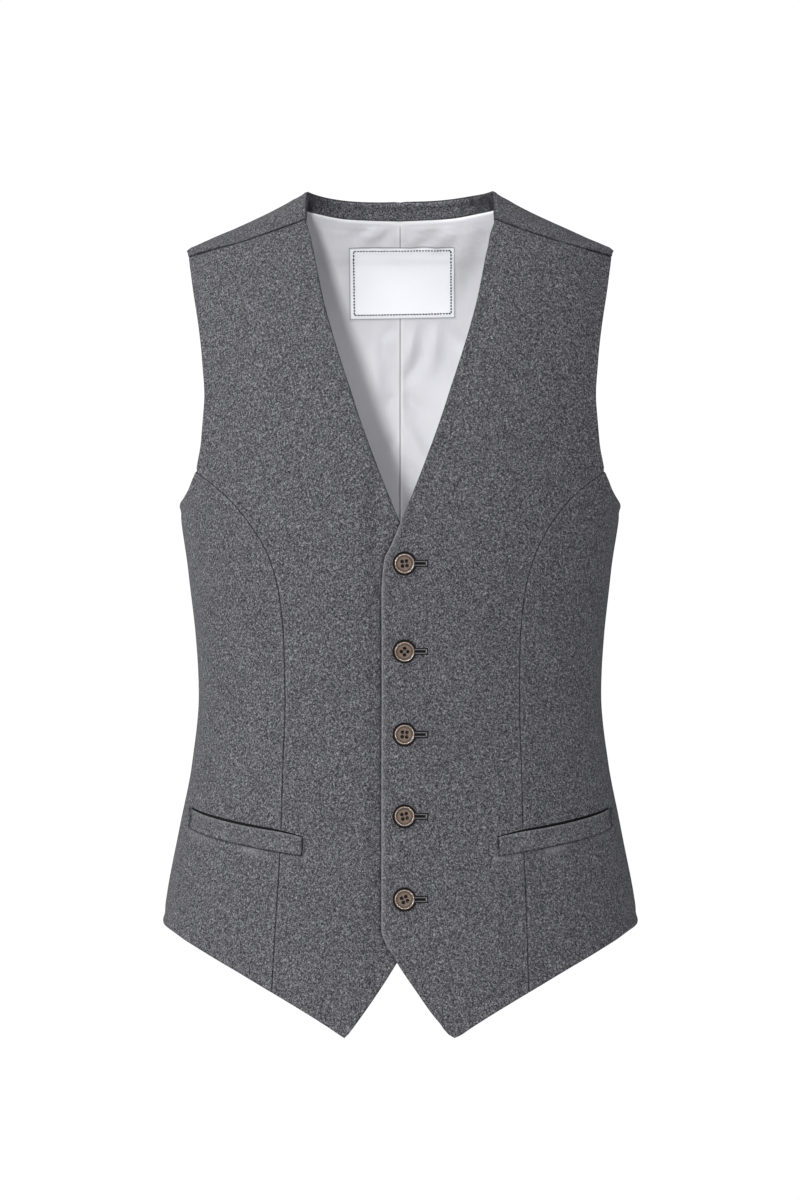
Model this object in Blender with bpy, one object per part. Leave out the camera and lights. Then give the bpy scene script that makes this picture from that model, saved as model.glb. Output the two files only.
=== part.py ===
"""Suit waistcoat: a hollow garment of cut cloth pieces, filled out with nobody in it.

The garment hangs from the wearer's shoulders. Its origin is midway between the two
points where the shoulder ridge meets the neck; +Z is up, the front faces -Y and +X
is the wearer's left. Sizes below are millimetres; meshes are made in metres.

Every point of the cloth is named by two numbers:
  turn  degrees round the body: 0 centre front, 90 side (or shoulder ridge), 180 centre back
  drop  millimetres below the neck point
Some edges that are cut on the front are given by across (millimetres from the centre
front, negative past it) and drop instead.
"""

import math

import bmesh
import bpy
import numpy
from mathutils import Matrix, Vector
from mathutils.bvhtree import BVHTree

MM = 0.001

# Walls of the pieces and the space left between two of them
CLOTH = 2.0
GAP = 0.3
LAYER_GAP = 0.45
FACING_WALL = 1.5
LINING_WALL = 1.0
LABEL_WALL = 1.0
WELT_WALL = 1.6

# The body of the garment: half a superellipse in front and half behind at each drop
ROUNDNESS = 2.3
SECTIONS = (
    # drop, half_width, front_depth, back_depth
    (0, 73, 30, 46),
    (9, 89, 37, 52),
    (19, 109, 45, 59),
    (29, 134, 53, 66),
    (37.5, 151.5, 59.5, 72),
    (42, 161.5, 63, 75),
    (44.5, 167, 65, 77),
    (47, 170, 67, 79),
    (70, 173, 82, 91),
    (100, 175, 97, 102),
    (150, 176, 113, 113),
    (200, 175.5, 121, 117),
    (250, 173.8, 123, 115),
    (300, 167.3, 121, 108),
    (350, 161.6, 117, 100),
    (400, 159.3, 114, 96),
    (450, 164.5, 115, 99),
    (500, 174.0, 118, 107),
    (550, 183.6, 122, 114),
    (600, 190, 126, 118),
    (660, 197, 130, 122),
)

# Neck and shoulder
NECK_HALF = 73
NECK_FRONT_DROP = 27
FACING_HEIGHT = 15
FACING_FRONT_DROP = 31.5
BACK_NECK = (
    # turn, drop
    (90, 0),
    (111, 0.6),
    (134, 2.2),
    (180, 3),
)
FACING_FOOT = (
    # turn, drop
    (90, 8.5),
    (115, 11.3),
    (141, 15.5),
    (180, 17),
)
SHOULDER_SEAM = (
    # across, drop
    (73, 27),
    (88, 31.5),
    (107, 38),
    (132, 46),
    (153, 51.5),
    (165, 53.5),
)
SHOULDER_END = (
    # turn, drop
    (82.5, 53.5),
    (85.5, 48),
    (90, 44.5),
)

# Front edges
LAP = 13
V_EDGE = (
    # across, drop
    (73, 27),
    (69.5, 46),
    (65.5, 67),
    (61, 86.5),
    (50.3, 127),
    (31.5, 185),
    (14.5, 228),
    (0, 263),
    (-8.3, 282.5),
    (-11.4, 290),
    (-12.6, 300),
    (-LAP, 315),
)
CUTAWAY = (
    # across, drop
    (-LAP, 562),
    (-LAP, 572),
    (-11, 580.5),
    (-6.4, 588.2),
    (-1.9, 596),
    (12.3, 617),
    (25.8, 636),
    (35.5, 648.5),
    (41, 652.5),
)
HEM = (
    # turn, drop
    (17.7, 652.5),
    (20.2, 650.6),
    (28.2, 638.6),
    (40.4, 618.8),
    (54.5, 599.7),
    (66.6, 585),
    (76, 577.5),
    (90, 574.3),
    (95, 573.5),
    (115, 571.5),
    (140, 568),
    (180, 565),
)

# Armhole and the seams that divide the body
ARMHOLE_FRONT = (
    # across, drop
    (165, 53.5),
    (163.3, 71.5),
    (157.3, 104),
    (153.2, 136),
    (151.3, 170),
    (153.7, 198),
    (158.5, 222),
)
UNDERARM = (
    # turn, drop
    (68.9, 222),
    (71.2, 228.4),
    (74, 236),
    (80.3, 243.3),
    (90, 246.5),
    (95, 247),
)
ARMHOLE_BACK = (
    # turn, drop
    (90, 44.5),
    (99, 57),
    (108, 84),
    (115, 122),
    (117, 160),
    (113, 200),
    (104, 235),
    (95, 247),
)
PRINCESS_SEAM = (
    # across, drop
    (158.5, 222),
    (146, 231.5),
    (131.6, 244),
    (114.5, 265),
    (101, 290),
    (93.5, 318),
    (90.3, 350),
    (89.4, 398),
    (90.7, 440),
    (92.2, 497),
    (94.8, 550),
    (97.9, 618.8),
)
SIDE_SEAM_TURN = 95

# How many grid steps each stretch of an edge gets; neighbours share them at a seam
COLUMNS_AT_SHOULDER = (0, 0.15, 0.24, 0.31, 0.39, 0.50, 0.63, 0.76, 0.88, 1)
V_STEPS = 10
CORNER_STEPS = 4
EDGE_STEPS = 9
CUTAWAY_STEPS = 6
SIDE_COLUMNS = 6
OVER_SHOULDER_STEPS = 3
NECK_STEPS = 6
UPPER_BACK_STEPS = 7
EVEN_AFTER_ROWS = 6

# The under front steps in beneath the upper one
UNDER_STEP = 2.4
STEP_FULL_TURN = 8.5
STEP_NONE_TURN = 13.0

# Lining, label, pockets, buttons
LINING_HEM_INSET = 9.0
LINING_ARM_INSET = 1.5
LABEL_WIDTH = 84.0
LABEL_TOP_DROP = 36.5
LABEL_FOOT_DROP = 92.0
LABEL_CENTRE = 1.6
LABEL_CELLS = (9, 6)
WELT_LIFT = 0.45
WELT_CELLS = (11, 2)
WELT_TOP = (
    # turn, drop
    (34.3, 501.8),
    (40.5, 498.6),
    (50, 495.2),
    (60, 490.9),
    (69, 486.6),
    (75.2, 483.2),
)
WELT_FOOT = (
    # turn, drop
    (34.3, 517),
    (40.5, 514.4),
    (50, 510.6),
    (60, 506),
    (68, 501.9),
    (73.6, 498.7),
)
BUTTON_RADIUS = 8.0
BUTTON_ACROSS = 3.3
BUTTON_SEGMENTS = 20
BUTTON_ROWS = (
    # drop, spin in degrees
    (294.4, 6),
    (361, 43),
    (424, -4),
    (486.2, 12),
    (549, 22),
)
BUTTON_PROFILE = (
    # radius, height
    (0, 0),
    (6.4, 0),
    (7.7, 0.8),
    (8.0, 1.7),
    (7.7, 2.6),
    (7.1, 2.9),
    (6.4, 2.5),
    (6.0, 1.9),
    (5.5, 2.0),
    (3.0, 1.7),
    (0, 1.6),
)
BUTTON_LIFT = 0.35
THREAD_HOLE_RADIUS = 1.05
THREAD_HOLE_PITCH = 3.3
BUTTONHOLE_START = 1.6
BUTTONHOLE_END = 19.4
BUTTONHOLE_WIDTH = 0.8

SUITING = ("suiting_grey", (0.105, 0.107, 0.117), 0.95)
SATIN = ("satin_silver", (0.62, 0.62, 0.65), 0.38)
LABEL_SATIN = ("label_white", (0.70, 0.70, 0.72), 0.5)
HORN = ("horn_brown", (0.12, 0.085, 0.065), 0.35)


# --- The form -------------------------------------------------------------------

def smooth(keys, values, at):
    """Cubic line through the values that never overshoots, straight past its ends."""
    keys = numpy.asarray(keys, float)
    values = numpy.asarray(values, float)
    step = numpy.diff(keys)
    rise = numpy.diff(values) / step
    slope = numpy.empty(len(keys))
    slope[0] = rise[0]
    slope[-1] = rise[-1]
    before = rise[:-1]
    after = rise[1:]
    same_way = before * after > 0
    weight_before = 2 * step[1:] + step[:-1]
    weight_after = step[1:] + 2 * step[:-1]
    safe_before = numpy.where(same_way, before, 1)
    safe_after = numpy.where(same_way, after, 1)
    mean = (weight_before + weight_after) / (weight_before / safe_before + weight_after / safe_after)
    slope[1:-1] = numpy.where(same_way, mean, 0)
    at = numpy.asarray(at, float)
    inside = numpy.clip(at, keys[0], keys[-1])
    cell = numpy.clip(numpy.searchsorted(keys, inside) - 1, 0, len(step) - 1)
    part = (inside - keys[cell]) / step[cell]
    start_share = (1 + 2 * part) * (1 - part) ** 2
    line = start_share * values[cell] + (1 - start_share) * values[cell + 1]
    line += part * (1 - part) ** 2 * step[cell] * slope[cell]
    line -= part ** 2 * (1 - part) * step[cell] * slope[cell + 1]
    past_end = numpy.where(at < keys[0], slope[0], slope[-1])
    return line + (at - inside) * past_end


def section(drop):
    """Half width, front depth and back depth at a drop."""
    drops, *sizes = zip(*SECTIONS)
    return [smooth(drops, size, drop) for size in sizes]


def form(turn, drop):
    """Point on the outside of the cloth, for a turn and a drop."""
    half, front, back = section(drop)
    angle = numpy.radians(turn)
    sine = numpy.sin(angle)
    cosine = numpy.cos(angle)
    depth = numpy.where(cosine >= 0, front, back)
    reach = (numpy.abs(sine) / half) ** ROUNDNESS + (numpy.abs(cosine) / depth) ** ROUNDNESS
    radius = reach ** (-1 / ROUNDNESS)
    return numpy.stack([radius * sine, -radius * cosine, -drop + 0 * radius], axis=-1)


def outward(turn, drop):
    """Unit direction that points out of the cloth there."""
    small = 0.05
    round_body = form(turn + small, drop) - form(turn - small, drop)
    down_body = form(turn, drop + small) - form(turn, drop - small)
    normal = numpy.cross(down_body, round_body)
    return normal / numpy.linalg.norm(normal, axis=-1, keepdims=True)


def turn_at(across, drop):
    """Turn of the point of the front that lies this far across."""
    half, front, _ = section(drop)
    share = 1 - (numpy.abs(across) / half) ** ROUNDNESS
    depth = front * numpy.maximum(share, 0) ** (1 / ROUNDNESS)
    return numpy.degrees(numpy.arctan2(across, depth))


def on_front(rows):
    """Rows of across and drop as rows of turn and drop."""
    across, drop = numpy.array(rows, float).T
    return numpy.stack([turn_at(across, drop), drop], axis=1)


def run(rows, steps=None, shares=None):
    """Points along the smooth line through rows of turn and drop.

    They are evenly spaced, or lie at the given shares of the line's length."""
    rows = numpy.array(rows, float)
    chords = numpy.linalg.norm(numpy.diff(form(*rows.T), axis=0), axis=1)
    mark = numpy.concatenate([[0], numpy.cumsum(chords)])
    fine = numpy.linspace(0, mark[-1], 40 * len(rows))
    line = numpy.stack([smooth(mark, column, fine) for column in rows.T], axis=1)
    pieces = numpy.linalg.norm(numpy.diff(form(*line.T), axis=0), axis=1)
    walked = numpy.concatenate([[0], numpy.cumsum(pieces)])
    if shares is None:
        shares = numpy.linspace(0, 1, steps + 1)
    at = numpy.interp(numpy.array(shares) * walked[-1], walked, fine)
    return numpy.stack([smooth(mark, column, at) for column in rows.T], axis=1)


def stretch(rows, first, last, steps):
    """Evenly spaced points of a line between two of its drops."""
    line = run(rows, steps=400)
    shares = numpy.interp([first, last], line[:, 1], numpy.linspace(0, 1, len(line)))
    return run(rows, shares=numpy.linspace(*shares, steps + 1))


def chain(*runs):
    """Runs that meet end to end, as one."""
    return numpy.concatenate([runs[0]] + [later[1:] for later in runs[1:]])


def patch(inner, outer, top, foot, columns):
    """Grid of turns and drops between four edges. columns has a row of shares for each row."""
    rows = len(inner)
    down = numpy.linspace(0, 1, rows)[:, None, None]
    share = columns[:, :, None]
    grid = inner[:, None] * (1 - share) + outer[:, None] * share
    top_bend = top - (top[0] * (1 - share[0]) + top[-1] * share[0])
    foot_bend = foot - (foot[0] * (1 - share[-1]) + foot[-1] * share[-1])
    return grid + (1 - down) ** 2 * top_bend + down ** 2 * foot_bend


def even(rows, steps):
    return numpy.tile(numpy.linspace(0, 1, steps + 1), (rows, 1))


# --- Edges, each sampled once and used by both pieces that meet there -------------

shoulder_seam = run(on_front(SHOULDER_SEAM), shares=COLUMNS_AT_SHOULDER)
armhole_front = run(on_front(ARMHOLE_FRONT), V_STEPS)
princess = chain(
    stretch(on_front(PRINCESS_SEAM), 222, 296, CORNER_STEPS),
    stretch(on_front(PRINCESS_SEAM), 296, 545, EDGE_STEPS),
    stretch(on_front(PRINCESS_SEAM), 545, 618.8, CUTAWAY_STEPS),
)
side_seam_line = ((SIDE_SEAM_TURN, 247), (SIDE_SEAM_TURN, 410), (SIDE_SEAM_TURN, 573.5))
side_seam = chain(
    stretch(side_seam_line, 247, 310, CORNER_STEPS),
    stretch(side_seam_line, 310, 515, EDGE_STEPS),
    stretch(side_seam_line, 515, 573.5, CUTAWAY_STEPS),
)
front_edge = chain(
    stretch(on_front(V_EDGE), 27, 263, V_STEPS),
    stretch(on_front(V_EDGE), 263, 315, CORNER_STEPS),
    run(on_front(((-LAP, 315), (-LAP, 440), (-LAP, 562))), EDGE_STEPS),
    run(on_front(CUTAWAY), CUTAWAY_STEPS),
)
hem_front, hem_side, hem_back = [
    [row for row in HEM if first <= row[0] <= last]
    for first, last in ((17, 41), (40, 95), (95, 180))
]
underarm = run(UNDERARM, SIDE_COLUMNS)


def neck_line(across, front_drop, behind):
    """Edge that climbs the front at one distance across, then goes round the back."""
    drops = front_drop * (1 - numpy.linspace(0, 1, OVER_SHOULDER_STEPS + 1)) ** 1.6
    lowest = behind[0][1]
    drops = lowest + drops * (front_drop - lowest) / front_drop
    climb = numpy.stack([turn_at(across, drops), drops], axis=1)
    climb[-1] = behind[0]
    return chain(climb, run(behind, NECK_STEPS))


neck_edge = neck_line(NECK_HALF, NECK_FRONT_DROP, BACK_NECK)
facing_foot = neck_line(NECK_HALF + FACING_HEIGHT, FACING_FRONT_DROP, FACING_FOOT)
neck_edge[0] = shoulder_seam[0]
facing_foot[0] = shoulder_seam[1]

centre_back_line = ((180, 17), (180, 290), (180, 565))
centre_back = chain(
    stretch(centre_back_line, 17, 205, UPPER_BACK_STEPS),
    stretch(centre_back_line, 205, 285, CORNER_STEPS),
    stretch(centre_back_line, 285, 512, EDGE_STEPS),
    stretch(centre_back_line, 512, 565, CUTAWAY_STEPS),
)
armhole_back = run(ARMHOLE_BACK, NECK_STEPS + UPPER_BACK_STEPS)
back_outer = chain(run(SHOULDER_END, OVER_SHOULDER_STEPS), armhole_back, side_seam)
back_outer[0] = shoulder_seam[-1]
back_inner = chain(facing_foot, centre_back)


def front_grid():
    outer = chain(armhole_front, princess)
    columns = numpy.tile(COLUMNS_AT_SHOULDER, (len(outer), 1))
    foot = run(hem_front, shares=COLUMNS_AT_SHOULDER)
    foot[0] = front_edge[-1]
    foot[-1] = princess[-1]
    return patch(front_edge, outer, shoulder_seam, foot, columns)


def side_grid():
    foot = run(hem_side, SIDE_COLUMNS)
    foot[0] = princess[-1]
    return patch(princess, side_seam, underarm, foot, even(len(princess), SIDE_COLUMNS))


def back_grid():
    """The back below its facing; the band behind the facing is a grid of its own."""
    at_seam = numpy.array(COLUMNS_AT_SHOULDER[1:])
    at_seam = (at_seam - at_seam[0]) / (1 - at_seam[0])
    spread = even(1, len(at_seam) - 1)[0]
    blend = numpy.clip(numpy.arange(len(back_outer)) / EVEN_AFTER_ROWS, 0, 1)[:, None]
    columns = at_seam * (1 - blend) + spread * blend
    foot = run(hem_back[::-1], len(at_seam) - 1)
    return patch(back_inner, back_outer, shoulder_seam[1:], foot, columns)


def band_grid():
    return numpy.stack([neck_edge, facing_foot], axis=1)


# --- Solids -----------------------------------------------------------------------

def material(name, colour, roughness):
    found = bpy.data.materials.get(name)
    if found:
        return found
    made = bpy.data.materials.new(name)
    made.use_nodes = True
    shader = made.node_tree.nodes["Principled BSDF"]
    shader.inputs["Base Color"].default_value = (*colour, 1)
    shader.inputs["Roughness"].default_value = roughness
    shader.inputs["Metallic"].default_value = 0
    return made


def make_object(name, finish, points, faces, round_faces=True):
    """Closed object from points in millimetres."""
    mesh = bpy.data.meshes.new(name)
    mesh.from_pydata([Vector(point) * MM for point in points], [], faces)
    work = bmesh.new()
    work.from_mesh(mesh)
    bmesh.ops.recalc_face_normals(work, faces=work.faces)
    work.to_mesh(mesh)
    work.free()
    if round_faces:
        mesh.shade_smooth()
        mesh.set_sharp_from_angle(angle=math.radians(35))
    mesh.materials.append(material(*finish))
    made = bpy.data.objects.new(name, mesh)
    bpy.context.scene.collection.objects.link(made)
    return made


def weld(grids):
    """Grids of turn and drop as one list of points and triangles.

    Each cell is halved along its shorter diagonal, so pieces that lie on each other and
    share a grid also share its creases."""
    places = {}
    points = []
    faces = []
    for grid in grids:
        rows, columns = grid.shape[:2]
        solid = form(grid[..., 0], grid[..., 1])
        number = numpy.empty((rows, columns), int)
        for index in numpy.ndindex(rows, columns):
            key = tuple(numpy.round(grid[index], 3))
            if key not in places:
                places[key] = len(points)
                points.append(grid[index])
            number[index] = places[key]
        for row, column in numpy.ndindex(rows - 1, columns - 1):
            top_left, top_right, foot_left, foot_right = (
                number[row:row + 2, column:column + 2].ravel().tolist()
            )
            falling = numpy.linalg.norm(solid[row, column] - solid[row + 1, column + 1])
            rising = numpy.linalg.norm(solid[row + 1, column] - solid[row, column + 1])
            if falling < rising:
                faces += [[top_left, foot_left, foot_right], [top_left, foot_right, top_right]]
            else:
                faces += [[top_left, foot_left, top_right], [foot_left, foot_right, top_right]]
    return numpy.array(points), faces, places


def rim_edges(faces):
    """Edges that only one face uses, each with that face."""
    seen = {}
    for face in faces:
        for first, second in zip(face, face[1:] + face[:1]):
            seen.setdefault(frozenset((first, second)), []).append((first, second, face))
    return [users[0] for users in seen.values() if len(users) == 1]


def draw_back(places_3d, rims, places, edges):
    """How far each rim point moves into its own piece, for edges of (line, distance)."""
    shift = numpy.zeros_like(places_3d)
    for line, distance in edges:
        members = {places.get(tuple(numpy.round(point, 3))) for point in line}
        pull = numpy.zeros_like(places_3d)
        for first, second, face in rims:
            if first in members and second in members:
                along = places_3d[second] - places_3d[first]
                inward = places_3d[face].mean(axis=0) - places_3d[first]
                inward -= along * (inward @ along) / (along @ along)
                inward /= numpy.linalg.norm(inward)
                pull[first] += inward
                pull[second] += inward
        size = numpy.linalg.norm(pull, axis=1, keepdims=True)
        shift += distance * pull / numpy.maximum(size, 1)
    return shift


def cloth(name, finish, grids, outer, wall, edges, side=1, sink=None, both_sides=False):
    """A wall of cloth between outer and outer minus wall, on the garment's form."""
    points, faces, places = weld(grids)
    turn, drop = points.T
    base = form(turn, drop)
    normals = outward(turn, drop)
    rims = rim_edges(faces)
    base = base + draw_back(base, rims, places, edges)
    level = outer - (sink(turn) if sink else 0 * turn)
    skins = [base + normals * (level - depth)[:, None] for depth in (0, wall)]
    if both_sides:
        return mirrored_cloth(name, finish, skins, faces)
    count = len(points)
    points_3d = numpy.concatenate(skins) * (side, 1, 1)
    return make_object(name, finish, points_3d, close_wall(faces, rims, count))


def close_wall(faces, rims, count):
    closed = [list(map(int, face)) for face in faces]
    closed += [[int(corner) + count for corner in reversed(face)] for face in faces]
    closed += [[int(b), int(a), int(a) + count, int(b) + count] for a, b, _ in rims]
    return closed


def mirrored_cloth(name, finish, skins, faces):
    """One piece that crosses the centre back: its half and the mirror of it, joined."""
    half_count = len(skins[0])
    on_centre = numpy.abs(skins[0][:, 0]) < 0.01
    other = numpy.arange(half_count)
    other[~on_centre] = half_count + numpy.arange(numpy.count_nonzero(~on_centre))
    both = []
    for skin in skins:
        skin[on_centre, 0] = 0
        both.append(numpy.concatenate([skin, skin[~on_centre] * (-1, 1, 1)]))
    all_faces = [list(face) for face in faces]
    all_faces += [[other[corner] for corner in reversed(face)] for face in faces]
    closed = close_wall(all_faces, rim_edges(all_faces), len(both[0]))
    return make_object(name, finish, numpy.concatenate(both), closed)


def step_in(turn):
    """Depth that the under front gives way at a turn of its own side."""
    share = numpy.clip((STEP_NONE_TURN - turn) / (STEP_NONE_TURN - STEP_FULL_TURN), 0, 1)
    return UNDER_STEP * share * share * (3 - 2 * share)


def make_panels():
    half_gap = GAP / 2
    seams = {
        "front": [(shoulder_seam, half_gap), (princess, half_gap)],
        "side_front": [(princess, half_gap), (side_seam, half_gap)],
        "back": [
            (shoulder_seam, half_gap),
            (side_seam, half_gap),
            (chain(neck_edge[-1:], centre_back[:1], centre_back), half_gap),
        ],
    }
    grids = {
        "front": [front_grid()],
        "side_front": [side_grid()],
        "back": [band_grid(), back_grid()],
    }
    made = {}
    for side_name, side in (("left", 1), ("right", -1)):
        for panel, edges in seams.items():
            under = panel == "front" and side < 0
            name = panel + "_" + side_name
            made[name] = cloth(
                name, SUITING, grids[panel], 0, CLOTH, edges, side, sink=step_in if under else None
            )
    return made


def make_inside():
    """Back neck facing and the two halves of the back lining."""
    inside = -CLOTH - LAYER_GAP
    half_gap = GAP / 2
    cloth(
        "neck_facing", SUITING, [band_grid()], inside, FACING_WALL,
        [(facing_foot, half_gap)], both_sides=True,
    )
    grid = back_grid()
    edges = [
        (facing_foot, half_gap),
        (centre_back, half_gap),
        (armhole_back[2:], LINING_ARM_INSET),
        (side_seam, half_gap),
        (grid[-1], LINING_HEM_INSET),
    ]
    made = []
    for side_name, side in (("left", 1), ("right", -1)):
        name = "lining_back_" + side_name
        made.append(cloth(name, SATIN, [grid], inside, LINING_WALL, edges, side))
    return made


def grid_faces(columns, rows):
    width = columns + 1
    return [
        [row * width + column, (row + 1) * width + column,
         (row + 1) * width + column + 1, row * width + column + 1]
        for row in range(rows) for column in range(columns)
    ]


def make_label(linings):
    """Label laid on the facets of the lining, across its centre seam."""
    trees = []
    for lining in linings:
        work = bmesh.new()
        work.from_mesh(lining.data)
        trees.append(BVHTree.FromBMesh(work))
        work.free()
    columns, rows = LABEL_CELLS
    near = []
    far = []
    for row in range(rows + 1):
        drop = LABEL_TOP_DROP + (LABEL_FOOT_DROP - LABEL_TOP_DROP) * row / rows
        for column in range(columns + 1):
            across = LABEL_CENTRE + LABEL_WIDTH * (column / columns - 0.5)
            start = Vector((across * MM, 0, -drop * MM))
            hits = [tree.ray_cast(start, Vector((0, 1, 0))) for tree in trees]
            depth = min(hit[3] for hit in hits if hit[0] is not None) / MM
            turn = 180 - math.degrees(math.atan2(abs(across), depth))
            normal = outward(numpy.array(turn), numpy.array(drop)) * (math.copysign(1, across), 1, 1)
            foot = numpy.array((across, depth, -drop))
            near.append(foot - normal * LAYER_GAP)
            far.append(foot - normal * (LAYER_GAP + LABEL_WALL))
    faces = grid_faces(columns, rows)
    closed = close_wall(faces, rim_edges(faces), len(near))
    make_object("label", LABEL_SATIN, near + far, closed)


def make_welts():
    columns, rows = WELT_CELLS
    top = run(WELT_TOP, columns)
    foot = run(WELT_FOOT, columns)
    share = numpy.linspace(0, 1, rows + 1)[:, None, None]
    turn, drop = (top * (1 - share) + foot * share).reshape(-1, 2).T
    base = form(turn, drop)
    normals = outward(turn, drop)
    skins = [base + normals * lift for lift in (WELT_LIFT + WELT_WALL, WELT_LIFT)]
    faces = grid_faces(columns, rows)
    closed = close_wall(faces, rim_edges(faces), len(base))
    for side_name, side in (("left", 1), ("right", -1)):
        make_object("pocket_welt_" + side_name, SUITING, numpy.concatenate(skins) * (side, 1, 1), closed)


def seat(across, drop, lift, spin=0):
    """Place on the upper front: local Z points out of the cloth, local X across it."""
    turn = turn_at(across, drop)
    normal = Vector(outward(turn, drop))
    across_way = (Vector((1, 0, 0)) - normal * normal.x).normalized()
    up_way = normal.cross(across_way)
    spot = Vector(form(turn, drop)) + normal * lift
    turned = Matrix((across_way, up_way, normal)).transposed().to_4x4()
    return Matrix.Translation(spot * MM) @ turned @ Matrix.Rotation(math.radians(spin), 4, "Z")


def cutter(target, tool):
    """Cut the target with the tool, which is only a guide itself."""
    tool.hide_render = True
    tool.display_type = "WIRE"
    cut = target.modifiers.new("cut", "BOOLEAN")
    cut.operation = "DIFFERENCE"
    cut.object = tool


def cut_buttonholes(front):
    length = BUTTONHOLE_END - BUTTONHOLE_START
    middle = (BUTTONHOLE_END + BUTTONHOLE_START) / 2
    for number, (drop, _) in enumerate(BUTTON_ROWS, 1):
        work = bmesh.new()
        bmesh.ops.create_cube(work, size=1)
        bmesh.ops.scale(work, vec=(length * MM, BUTTONHOLE_WIDTH * MM, 4 * CLOTH * MM), verts=work.verts)
        mesh = bpy.data.meshes.new("buttonhole_%d" % number)
        work.to_mesh(mesh)
        work.free()
        tool = bpy.data.objects.new("buttonhole_%d" % number, mesh)
        bpy.context.scene.collection.objects.link(tool)
        tool.matrix_world = seat(middle, drop, -CLOTH / 2)
        cutter(front, tool)


def button_mesh():
    """Turned disc with a raised rim round a shallow dish."""
    work = bmesh.new()
    ring = [work.verts.new((radius * MM, 0, height * MM)) for radius, height in BUTTON_PROFILE]
    outline = [work.edges.new(pair) for pair in zip(ring, ring[1:])]
    bmesh.ops.spin(
        work, geom=ring + outline, axis=(0, 0, 1), cent=(0, 0, 0),
        steps=BUTTON_SEGMENTS, angle=math.tau, use_duplicate=False,
    )
    bmesh.ops.remove_doubles(work, verts=work.verts, dist=0.00001)
    bmesh.ops.recalc_face_normals(work, faces=work.faces)
    mesh = bpy.data.meshes.new("button")
    work.to_mesh(mesh)
    work.free()
    mesh.shade_smooth()
    mesh.set_sharp_from_angle(angle=math.radians(40))
    mesh.materials.append(material(*HORN))
    return mesh


def thread_hole_mesh():
    work = bmesh.new()
    for x_side in (-1, 1):
        for y_side in (-1, 1):
            middle = Vector((x_side, y_side, 0)) * THREAD_HOLE_PITCH / 2 * MM
            bmesh.ops.create_cone(
                work, cap_ends=True, segments=8, depth=4 * BUTTON_RADIUS * MM,
                radius1=THREAD_HOLE_RADIUS * MM, radius2=THREAD_HOLE_RADIUS * MM,
                matrix=Matrix.Translation(middle),
            )
    mesh = bpy.data.meshes.new("thread_holes")
    work.to_mesh(mesh)
    work.free()
    return mesh


def make_buttons():
    mesh = button_mesh()
    holes = thread_hole_mesh()
    for number, (drop, spin) in enumerate(BUTTON_ROWS, 1):
        place = seat(BUTTON_ACROSS, drop, BUTTON_LIFT, spin)
        button = bpy.data.objects.new("button_%d" % number, mesh)
        tool = bpy.data.objects.new("thread_holes_%d" % number, holes)
        for made in (button, tool):
            bpy.context.scene.collection.objects.link(made)
            made.matrix_world = place
        cutter(button, tool)


def main():
    for old in list(bpy.data.objects):
        bpy.data.objects.remove(old, do_unlink=True)
    panels = make_panels()
    cut_buttonholes(panels["front_left"])
    make_label(make_inside())
    make_welts()
    make_buttons()


main()
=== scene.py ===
# %% [markdown]
# # A suit waistcoat in grey wool
#
# The garment is filled out as if worn, with nobody in it. Each cut piece of cloth becomes a thin
# closed wall that lies on one shared body form, so neighbouring pieces meet exactly at their seams.
# Lengths in the tables are millimetres and turns are degrees; Blender gets metres.

import math

import bmesh
import bpy
import numpy
from mathutils import Matrix, Vector


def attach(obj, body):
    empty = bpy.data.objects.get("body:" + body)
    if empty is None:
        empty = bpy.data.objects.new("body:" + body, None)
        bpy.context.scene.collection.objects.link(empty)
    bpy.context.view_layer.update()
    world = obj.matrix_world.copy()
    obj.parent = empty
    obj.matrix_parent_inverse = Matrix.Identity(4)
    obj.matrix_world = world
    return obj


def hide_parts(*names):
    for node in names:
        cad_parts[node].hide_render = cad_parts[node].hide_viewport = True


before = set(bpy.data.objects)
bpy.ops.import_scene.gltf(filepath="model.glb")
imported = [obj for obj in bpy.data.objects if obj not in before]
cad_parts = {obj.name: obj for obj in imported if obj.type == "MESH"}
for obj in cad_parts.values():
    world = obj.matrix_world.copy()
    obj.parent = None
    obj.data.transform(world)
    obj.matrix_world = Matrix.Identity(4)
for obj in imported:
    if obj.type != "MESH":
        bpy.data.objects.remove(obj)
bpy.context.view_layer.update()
MM = 0.001
print("frame nodes:", len(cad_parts))

# %% [markdown]
# ## Smooth lines through a table
#
# Every shape below starts as a short table. A plain spline through its rows would swing past them
# and leave waves in the cloth, so the slope at each row is the weighted harmonic mean of the two
# slopes beside it, and none where they change sign. `bell` is the other shape used all the time:
# a soft bump of height 1.

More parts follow.
